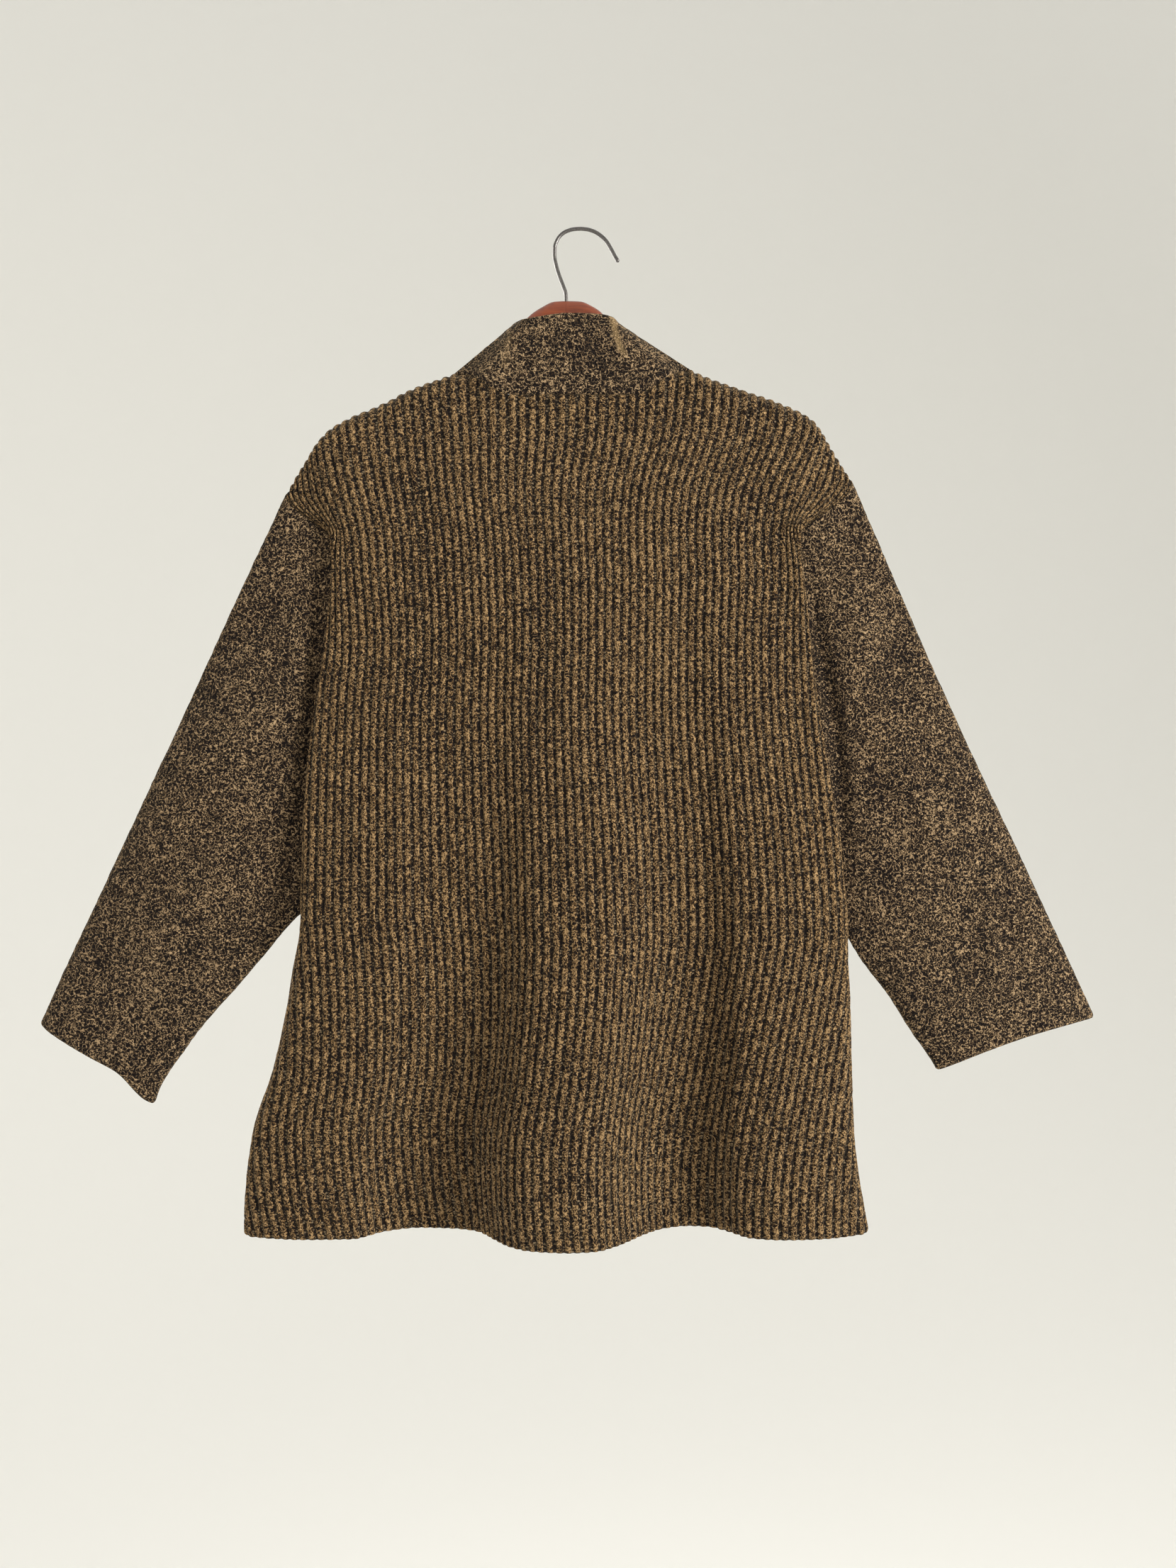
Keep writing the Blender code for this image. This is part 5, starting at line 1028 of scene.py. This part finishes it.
def collar_piece(sizes):
    """The stand collar, from one side of the open zip round the back to the other."""
    around = np.linspace(0.0, 1.0, 217)
    heights = np.concatenate([[0.0, 0.01, 0.025], np.linspace(0.05, 0.955, 38), [0.97, 0.98, 0.99, 1.0]])
    base = collar_net(around, heights)
    normals = net_normals(base, base - base.mean(axis=(0, 1)) * [1, 0, 1])
    from_seam, from_left = run_down(base), run_across(base)
    from_top = from_seam[-1] - from_seam
    from_side = np.minimum(from_left, from_left[:, -1:] - from_left)
    height = creased("collar", base, normals)
    loops = lumps(base, *SWELLS["collar"]) * sizes.loop_height / MM
    sunk = (edge_rounding(from_seam, SEAM_ROLL) + edge_rounding(from_top, COLLAR_TOP_ROLL)
            + edge_rounding(from_side, COLLAR_SIDE_ROLL))
    outer = base + normals * (height + loops - sunk)[..., None]
    inner = inner_from(base, normals, sizes.plain_thickness / MM, height)
    weave = np.stack([np.zeros_like(from_top), from_top * MM, height], axis=-1)
    mesh = cloth_shell(outer, inner, weave)
    obj = finished("collar_cloth", mesh, "garment", "plain_knit")
    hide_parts("collar")
    return obj


def zip_line(way, sizes):
    """The cloth's inner edge along one side of the zip and the points beside it, from foot to top."""
    cut = cut_panel("front")
    rows = cut.rows[:OPEN_ROWS][::-1]
    rows = rows[cut.points[:OPEN_ROWS, cut.middle, 2][::-1] >= SLIT_BOTTOM_Z - 0.5]
    one = np.full((len(rows), 1), float(way))
    edge = cut.at(np.zeros_like(one), rows[:, None], one)[:, 0]
    beside = cut.at(one * 2.0, rows[:, None], one)[:, 0]
    down = np.gradient(edge, axis=0)
    inside = unit(np.cross(unit(beside - edge), down) * way)
    thick = sizes.cloth_thickness / MM
    edge, beside = edge + inside * thick, beside + inside * thick
    around = np.array([0.0, 0.02]) if way < 0 else np.array([1.0, 0.98])
    heights = np.linspace(0.06, TAPE_SHORT, 34)
    collar = collar_net(around, heights)
    collar_in = unit(np.cross(unit(collar[:, 1] - collar[:, 0]), np.gradient(collar[:, 0], axis=0)) * way)
    collar = collar + collar_in[:, None] * sizes.plain_thickness / MM
    foot = np.array([0.0, 0.0, -TAPE_TAIL])
    edge = np.vstack([edge[0] + foot, edge[0] + foot / 2, edge, collar[:, 0]])
    beside = np.vstack([beside[0] + foot, beside[0] + foot / 2, beside, collar[:, 1]])
    inside = np.vstack([inside[:1], inside[:1], inside, collar_in])
    behind = np.concatenate([np.full(len(edge) - len(heights), ZIP_BEHIND),
                             ZIP_BEHIND + (COLLAR_BEHIND - ZIP_BEHIND) * ease(heights / 0.35)])
    return edge, unit(beside - edge), inside, behind


def smoothed(values):
    """A line of values with its small kinks rounded, its ends kept."""
    for _ in range(6):
        values = np.concatenate([values[:1], (values[:-2] + 2 * values[1:-1] + values[2:]) / 4, values[-1:]])
    return values


def tape_piece(side, sizes):
    """One side of the zip: its woven tape, and its teeth as one joined piece."""
    way = -1 if side == "left" else 1
    edge, across, inside, behind = zip_line(way, sizes)
    edge, across, inside = smoothed(edge), unit(smoothed(across)), unit(smoothed(inside))
    near = edge - across * TAPE_SHOWS + inside * behind[:, None]
    run = arc(*near.T)
    even = np.linspace(0.0, run[-1], 121)
    near = read_line(even, run, near)
    across, inside = unit(read_line(even, run, across)), unit(read_line(even, run, inside))
    cut, thick, wide = TAPE_CORNER, TAPE_THICK, TAPE_WIDTH
    section = [(cut, 0.0), (wide / 2, 0.0), (wide - cut, 0.0), (wide, cut), (wide, thick - cut),
               (wide - cut, thick), (wide / 2, thick), (cut, thick), (0.0, thick - cut), (0.0, cut),
               (cut, 0.0)]
    net = np.stack([near + across * a + inside * b for a, b in section], axis=1)
    tape = finished("tape_" + side, capped_tube(net), "garment", "zip_tape")
    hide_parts("zip_tape_" + side)
    teeth = teeth_piece(side, near, across, inside, even)
    return tape


def teeth_piece(side, near, across, inside, even):
    """The teeth of one side, each a small block with a narrower head beyond the tape's edge."""
    mesh = bmesh.new()
    start = TOOTH_FIRST if side == "left" else TOOTH_FIRST + TOOTH_PITCH / 2
    for run in np.arange(start, even[-1] - TOOTH_LAST, TOOTH_PITCH):
        spot, out, back = (read_line(run, even, line) for line in (near, -across, inside))
        up = np.cross(out, back)
        centre = spot + out * TOOTH_OUT + back * TAPE_THICK / 2
        axes = [(*(out * TOOTH_WIDE), 0.0), (*(up * TOOTH_TALL), 0.0), (*(back * TOOTH_THICK), 0.0)]
        placed = Matrix.Scale(MM, 4) @ Matrix([*axes, (*centre, 1.0)]).transposed()
        block = bmesh.ops.create_cube(mesh, size=1.0, matrix=placed)["verts"]
        head = [v for v in block if (Vector(v.co) / MM - Vector(centre)).dot(Vector(out)) > 0]
        middle = sum((v.co for v in head), Vector()) / len(head)
        for v in head:
            v.co = middle + (v.co - middle) * TOOTH_HEAD
    bmesh.ops.recalc_face_normals(mesh, faces=mesh.faces)
    bmesh.ops.bevel(mesh, geom=mesh.edges[:], offset=TOOTH_BEVEL * MM, segments=1, profile=0.5,
                    affect="EDGES", material=-1)
    return finished("teeth_" + side, mesh, "garment", "zip_metal", smooth=False)


def softened_copy(node, name, body, offset):
    """A metal piece of the zip: its node's shape with its edges rounded, in the node's place."""
    mesh = bmesh.new()
    mesh.from_mesh(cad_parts[node].data)
    bmesh.ops.remove_doubles(mesh, verts=mesh.verts, dist=0.01 * MM)
    bmesh.ops.dissolve_limit(mesh, angle_limit=math.radians(4), verts=mesh.verts, edges=mesh.edges)
    sharp = [e for e in mesh.edges if len(e.link_faces) == 2 and e.calc_face_angle(0.0) > math.radians(35)]
    bmesh.ops.bevel(mesh, geom=sharp, offset=offset, segments=2, profile=0.5, affect="EDGES", material=-1,
                    clamp_overlap=True)
    obj = finished(name, mesh, body, "zip_metal")
    obj.data.set_sharp_from_angle(angle=math.radians(40))
    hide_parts(node)
    return obj


def wood_half(side):
    """Half of the hanger: a rounded bar with a ridge along its top, thinner and lower at its end."""
    way = -1.0 if side == "left" else 1.0
    tops = list(HUMP[side])
    for rib in ARM_RIBS:
        x, z = shoulder(way * rib)
        tops.append((x, z - HANGER_CLEAR))
    tops = np.array(tops)
    run = arc(tops[:, 0], tops[:, 1])
    stations = np.concatenate([np.linspace(0.0, run[-1] - HANGER_ROUND, 92),
                               run[-1] - np.array(HANGER_END_RINGS)])
    heights = np.array(WOOD_HEIGHT)
    rings = []
    for at in stations:
        x, z = (float(curve_through(run, tops[:, k], at)) for k in (0, 1))
        tall = float(curve_through(heights[:, 0], heights[:, 1], abs(x - SPLIT_X)))
        taper = float(ease((run[-1] - at) / HANGER_TAPER))
        nose = math.sqrt(1 - (1 - min((run[-1] - at) / HANGER_ROUND, 1.0)) ** 2)
        thin = (0.6 + 0.4 * taper) * (0.35 + 0.65 * nose)
        squeeze = 0.55 + 0.45 * nose
        low, high = z - tall * (0.85 + 0.15 * taper), z - 2.5 * (1 - taper)
        middle = (low + high) / 2
        ring = [(y * thin, (low if end else high) + level) for y, level, end in HANGER_PROFILE]
        ring = [(y, middle + (level - middle) * squeeze) for y, level in ring]
        ring += [(-y, level) for y, level in reversed(ring)]
        ring = np.array(ring + ring[:1])
        round_run = arc(ring[:, 0], ring[:, 1])
        even = np.linspace(0.0, round_run[-1], 49)
        y, level = np.interp(even, round_run, ring[:, 0]), np.interp(even, round_run, ring[:, 1])
        rings.append(np.stack([np.full_like(y, x), y, level], axis=1))
    net = np.array(rings)
    for _ in range(3):
        soft = (np.roll(net[:, :-1], 1, axis=1) + 2 * net[:, :-1] + np.roll(net[:, :-1], -1, axis=1)) / 4
        net[:, :-1] = soft
        net[:, -1] = net[:, 0]
    net[0, :, 0] += way * GLUE_GAP
    obj = finished("wood_" + side, capped_tube(net), "garment", "wood")
    obj.data.set_sharp_from_angle(angle=math.radians(55))
    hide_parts("hanger_" + side)
    return obj


def hook_piece():
    """The hook: one round wire out of the wood, up and over the nail's place, with a rounded tip."""
    line = np.array(HOOK_LINE)
    run = arc(line[:, 0], line[:, 1])
    steps = np.linspace(0.0, run[-1], 150)
    path = np.stack([curve_through(run, line[:, 0], steps), np.zeros_like(steps),
                     curve_through(run, line[:, 1], steps)], axis=1)
    ahead = unit(np.gradient(path, axis=0))
    side = np.cross(ahead, [0.0, 1.0, 0.0])
    radius = np.full(len(steps), WIRE_RADIUS)
    tip = (run[-1] - steps) / WIRE_RADIUS
    radius = radius * np.sqrt(np.clip(1 - (1 - np.minimum(tip, 1.0)) ** 2, 0.02, 1.0))
    turn = np.linspace(0.0, 2 * math.pi, 25)
    net = path[:, None] + radius[:, None, None] * (
        side[:, None] * np.cos(turn)[None, :, None] + np.array([0.0, 1.0, 0.0]) * np.sin(turn)[None, :, None])
    net[:, -1] = net[:, 0]
    obj = finished("wire_hook", capped_tube(net), "garment", "wire")
    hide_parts("hanger_hook")
    return obj


def studio_shell(settings):
    """A pale round floor that curves up into a wall."""
    floor_z, wide, bend = settings.floor_level, settings.studio_radius, STUDIO_BEND
    profile = [(0.0, floor_z), (wide - bend, floor_z)]
    for k in range(1, STUDIO_BEND_STEPS + 1):
        angle = k / STUDIO_BEND_STEPS * math.pi / 2
        profile.append((wide - bend + bend * math.sin(angle), floor_z + bend - bend * math.cos(angle)))
    profile.append((wide, floor_z + STUDIO_WALL))
    mesh = bmesh.new()
    corners = [mesh.verts.new((x, 0.0, z)) for x, z in profile]
    edges = [mesh.edges.new(pair) for pair in zip(corners[:-1], corners[1:])]
    bmesh.ops.spin(mesh, geom=corners + edges, axis=(0, 0, 1), cent=(0, 0, 0), steps=STUDIO_SIDES,
                   angle=2 * math.pi, use_merge=True)
    bmesh.ops.remove_doubles(mesh, verts=mesh.verts, dist=0.0001)
    bmesh.ops.recalc_face_normals(mesh, faces=mesh.faces)
    bmesh.ops.reverse_faces(mesh, faces=mesh.faces)
    data = bpy.data.meshes.new("studio")
    mesh.to_mesh(data)
    mesh.free()
    data.shade_smooth()
    floor = bpy.data.objects.new("studio", data)
    bpy.context.scene.collection.objects.link(floor)
    data.materials.append(finish_of("studio"))


def studio_lights(settings):
    """The daylight from one side, a weaker light from the other, both again from afar, and the air."""
    for name, place, size, power, share, spread in LIGHTS:
        lamp = bpy.data.lights.new(name, "AREA")
        lamp.shape, lamp.size, lamp.energy = "DISK", size, getattr(settings, power) * share
        lamp.color, lamp.spread = settings.light_colour, math.radians(spread)
        made = bpy.data.objects.new(name, lamp)
        made.location = place
        made.visible_camera = False
        made.rotation_euler = (Vector(LIGHT_AIM) - Vector(place)).to_track_quat("-Z", "Y").to_euler()
        bpy.context.scene.collection.objects.link(made)
    world = bpy.data.worlds.new("studio_air")
    world.use_nodes = True
    air = world.node_tree.nodes["Background"]
    air.inputs["Color"].default_value = (*settings.light_colour, 1.0)
    air.inputs["Strength"].default_value = settings.air_strength
    bpy.context.scene.world = world


def photo_camera():
    """A camera where the photograph was taken from, level with the middle of the body."""
    camera = bpy.data.cameras.new("camera")
    camera.sensor_width = 24.0
    camera.lens = camera.sensor_width * FOCAL_PX / PHOTO_HEIGHT_PX
    camera.clip_start, camera.clip_end = 0.01, 50.0
    eye = bpy.data.objects.new("camera", camera)
    eye.location = CAMERA_AT
    eye.rotation_euler = (math.pi / 2, 0.0, 0.0)
    bpy.context.scene.collection.objects.link(eye)
    bpy.context.scene.camera = eye
    bpy.context.scene.view_settings.view_transform = "Standard"


# ================================================================= properties
def length_property(name, description, default):
    """A distance in metres that can't be negative."""
    return FloatProperty(name=name, description=description, default=default, min=0.0, subtype="DISTANCE",
                         unit="LENGTH", precision=5)


def colour_property(name, description, default):
    """A colour as linear red, green and blue."""
    return FloatVectorProperty(name=name, description=description, default=default, size=3, min=0.0, max=1.0,
                               subtype="COLOR")


class SweaterSizes(bpy.types.PropertyGroup):
    """Sizes of the cloth's finer form."""
    rib_depth: length_property("Rib depth", "Depth of the furrow between two ribs", 0.0015)
    cloth_thickness: length_property("Ribbed cloth", "Full thickness of the ribbed knit", 0.0030)
    plain_thickness: length_property("Plain cloth", "Thickness of the plain knit", 0.0024)
    loop_height: length_property("Loop height", "How far the yarn's loops stand out of the knit", 0.00032)


class SweaterColours(bpy.types.PropertyGroup):
    """Colours of the yarns, the zip, the hanger and the studio."""
    rib_light: colour_property("Rib, light", "Lightest yarn on a rib", (0.36, 0.2288, 0.1075))
    rib_middle: colour_property("Rib, middle", "Main colour of a rib", (0.1368, 0.0788, 0.0316))
    rib_shade: colour_property("Rib, shade", "Yarn that lies deeper in a rib", (0.0432, 0.0232, 0.0091))
    furrow: colour_property("Furrow", "Near-black yarn between the ribs", (0.0045, 0.0022, 0.0018))
    pale_loop: colour_property("Pale loop", "Loops that show along the furrows", (0.306, 0.2227, 0.1318))
    fleck_dark: colour_property("Fleck, dark", "Darker fleck of the plain knit", (0.0227, 0.0129, 0.007))
    fleck_middle: colour_property("Fleck, middle", "Middle fleck of the plain knit", (0.0892, 0.0547, 0.0279))
    fleck_light: colour_property("Fleck, light", "Lightest fleck of the plain knit", (0.378, 0.2587, 0.1442))
    # Painted highlight: the golden colour that the plain knit takes on its sharpest crease ridges.
    ridge_highlight: colour_property("Ridge highlight", "Golden fibres along the sharpest folds", (0.40, 0.27, 0.125))
    sheen: colour_property("Sheen", "Tint of the fine fibres at the edges", (0.85, 0.66, 0.40))
    tape: colour_property("Tape", "Zip tape", (0.022, 0.017, 0.014))
    tape_thread: colour_property("Tape thread", "Raised thread of the zip tape", (0.055, 0.042, 0.034))
    brass: colour_property("Brass", "Zip metal", (0.294, 0.224, 0.119))
    brass_dark: colour_property("Tarnish", "Darker zip metal", (0.119, 0.0875, 0.049))
    wood: colour_property("Wood", "Main colour of the stained wood", (0.196, 0.035, 0.0057))
    wood_light: colour_property("Wood, light", "Lighter grain", (0.2426, 0.049, 0.0089))
    wood_dark: colour_property("Wood, dark", "Darker grain and pores", (0.1237, 0.0205, 0.005))
    wire: colour_property("Wire", "Steel wire", (0.18, 0.168, 0.162))
    wire_dark: colour_property("Wire, dark", "Darker marks on the wire", (0.096, 0.09, 0.087))
    studio: colour_property("Studio", "Paint of the floor and wall", (0.86, 0.855, 0.825))


class SweaterStage(bpy.types.PropertyGroup):
    """Sizes and lights of the studio."""
    floor_level: FloatProperty(name="Floor", description="Height of the floor below the hook", default=-1.9,
                               unit="LENGTH")
    studio_radius: length_property("Radius", "Radius of the round studio", 5.0)
    window_power: FloatProperty(name="Window", description="Power of the main light", default=54.0, min=0.0,
                                unit="POWER")
    fill_power: FloatProperty(name="Fill", description="Power of the weaker light", default=7.0, min=0.0,
                              unit="POWER")
    air_strength: FloatProperty(name="Air", description="Strength of the light all round", default=0.84,
                                min=0.0)
    light_colour: colour_property("Light", "Colour of the daylight", (1.0, 0.985, 0.95))


# ================================================================= operators and panel
class SWEATER_OT_body(bpy.types.Operator):
    """Make the ribbed back and front"""
    bl_idname = "sweater.body"
    bl_label = "Back and Front"

    def execute(self, context):
        for name in ("back", "front"):
            panel_piece(name, context.scene.sweater_sizes)
        return {"FINISHED"}


class SWEATER_OT_sleeves(bpy.types.Operator):
    """Make the two plain sleeves"""
    bl_idname = "sweater.sleeves"
    bl_label = "Sleeves"

    def execute(self, context):
        for side in ("left", "right"):
            sleeve_piece(side, context.scene.sweater_sizes)
        return {"FINISHED"}


class SWEATER_OT_collar(bpy.types.Operator):
    """Make the stand collar"""
    bl_idname = "sweater.collar"
    bl_label = "Collar"

    def execute(self, context):
        collar_piece(context.scene.sweater_sizes)
        return {"FINISHED"}


class SWEATER_OT_zip(bpy.types.Operator):
    """Make the zip's tapes, teeth, slider and pull tab"""
    bl_idname = "sweater.zip"
    bl_label = "Zip"

    def execute(self, context):
        for side in ("left", "right"):
            tape_piece(side, context.scene.sweater_sizes)
        softened_copy("zip_slider", "slider", "garment", 0.22 * MM)
        softened_copy("zip_pull", "pull", "pull_tab", 0.25 * MM)
        return {"FINISHED"}


class SWEATER_OT_hanger(bpy.types.Operator):
    """Make the wooden hanger and its wire hook"""
    bl_idname = "sweater.hanger"
    bl_label = "Hanger"

    def execute(self, context):
        for side in ("left", "right"):
            wood_half(side)
        hook_piece()
        return {"FINISHED"}


class SWEATER_OT_stage(bpy.types.Operator):
    """Make the studio, its lights and the camera"""
    bl_idname = "sweater.stage"
    bl_label = "Studio"

    def execute(self, context):
        studio_shell(context.scene.sweater_stage)
        studio_lights(context.scene.sweater_stage)
        photo_camera()
        return {"FINISHED"}


class SWEATER_PT_panel(bpy.types.Panel):
    """Lists the sweater's pieces, sizes and colours"""
    bl_idname = "SWEATER_PT_panel"
    bl_label = "Sweater"
    bl_space_type = "VIEW_3D"
    bl_region_type = "UI"
    bl_category = "Sweater"

    def draw(self, context):
        for made in OPERATORS:
            self.layout.operator(made.bl_idname)
        scene = context.scene
        for group in (scene.sweater_sizes, scene.sweater_colours, scene.sweater_stage):
            box = self.layout.box()
            for key in group.bl_rna.properties.keys():
                if key not in ("rna_type", "name"):
                    box.prop(group, key)


OPERATORS = (SWEATER_OT_stage, SWEATER_OT_body, SWEATER_OT_sleeves, SWEATER_OT_collar, SWEATER_OT_zip,
             SWEATER_OT_hanger)
CLASSES = (SweaterSizes, SweaterColours, SweaterStage, *OPERATORS, SWEATER_PT_panel)


def register():
    """Add the operators, the panel and the properties."""
    for made in CLASSES:
        bpy.utils.register_class(made)
    bpy.types.Scene.sweater_sizes = PointerProperty(type=SweaterSizes)
    bpy.types.Scene.sweater_colours = PointerProperty(type=SweaterColours)
    bpy.types.Scene.sweater_stage = PointerProperty(type=SweaterStage)


def unregister():
    """Take them away again."""
    del bpy.types.Scene.sweater_sizes, bpy.types.Scene.sweater_colours, bpy.types.Scene.sweater_stage
    for made in reversed(CLASSES):
        bpy.utils.unregister_class(made)


def main():
    """Build every piece."""
    register()
    for made in OPERATORS:
        group, name = made.bl_idname.split(".")
        getattr(getattr(bpy.ops, group), name)()


if __name__ == "__main__":
    main()
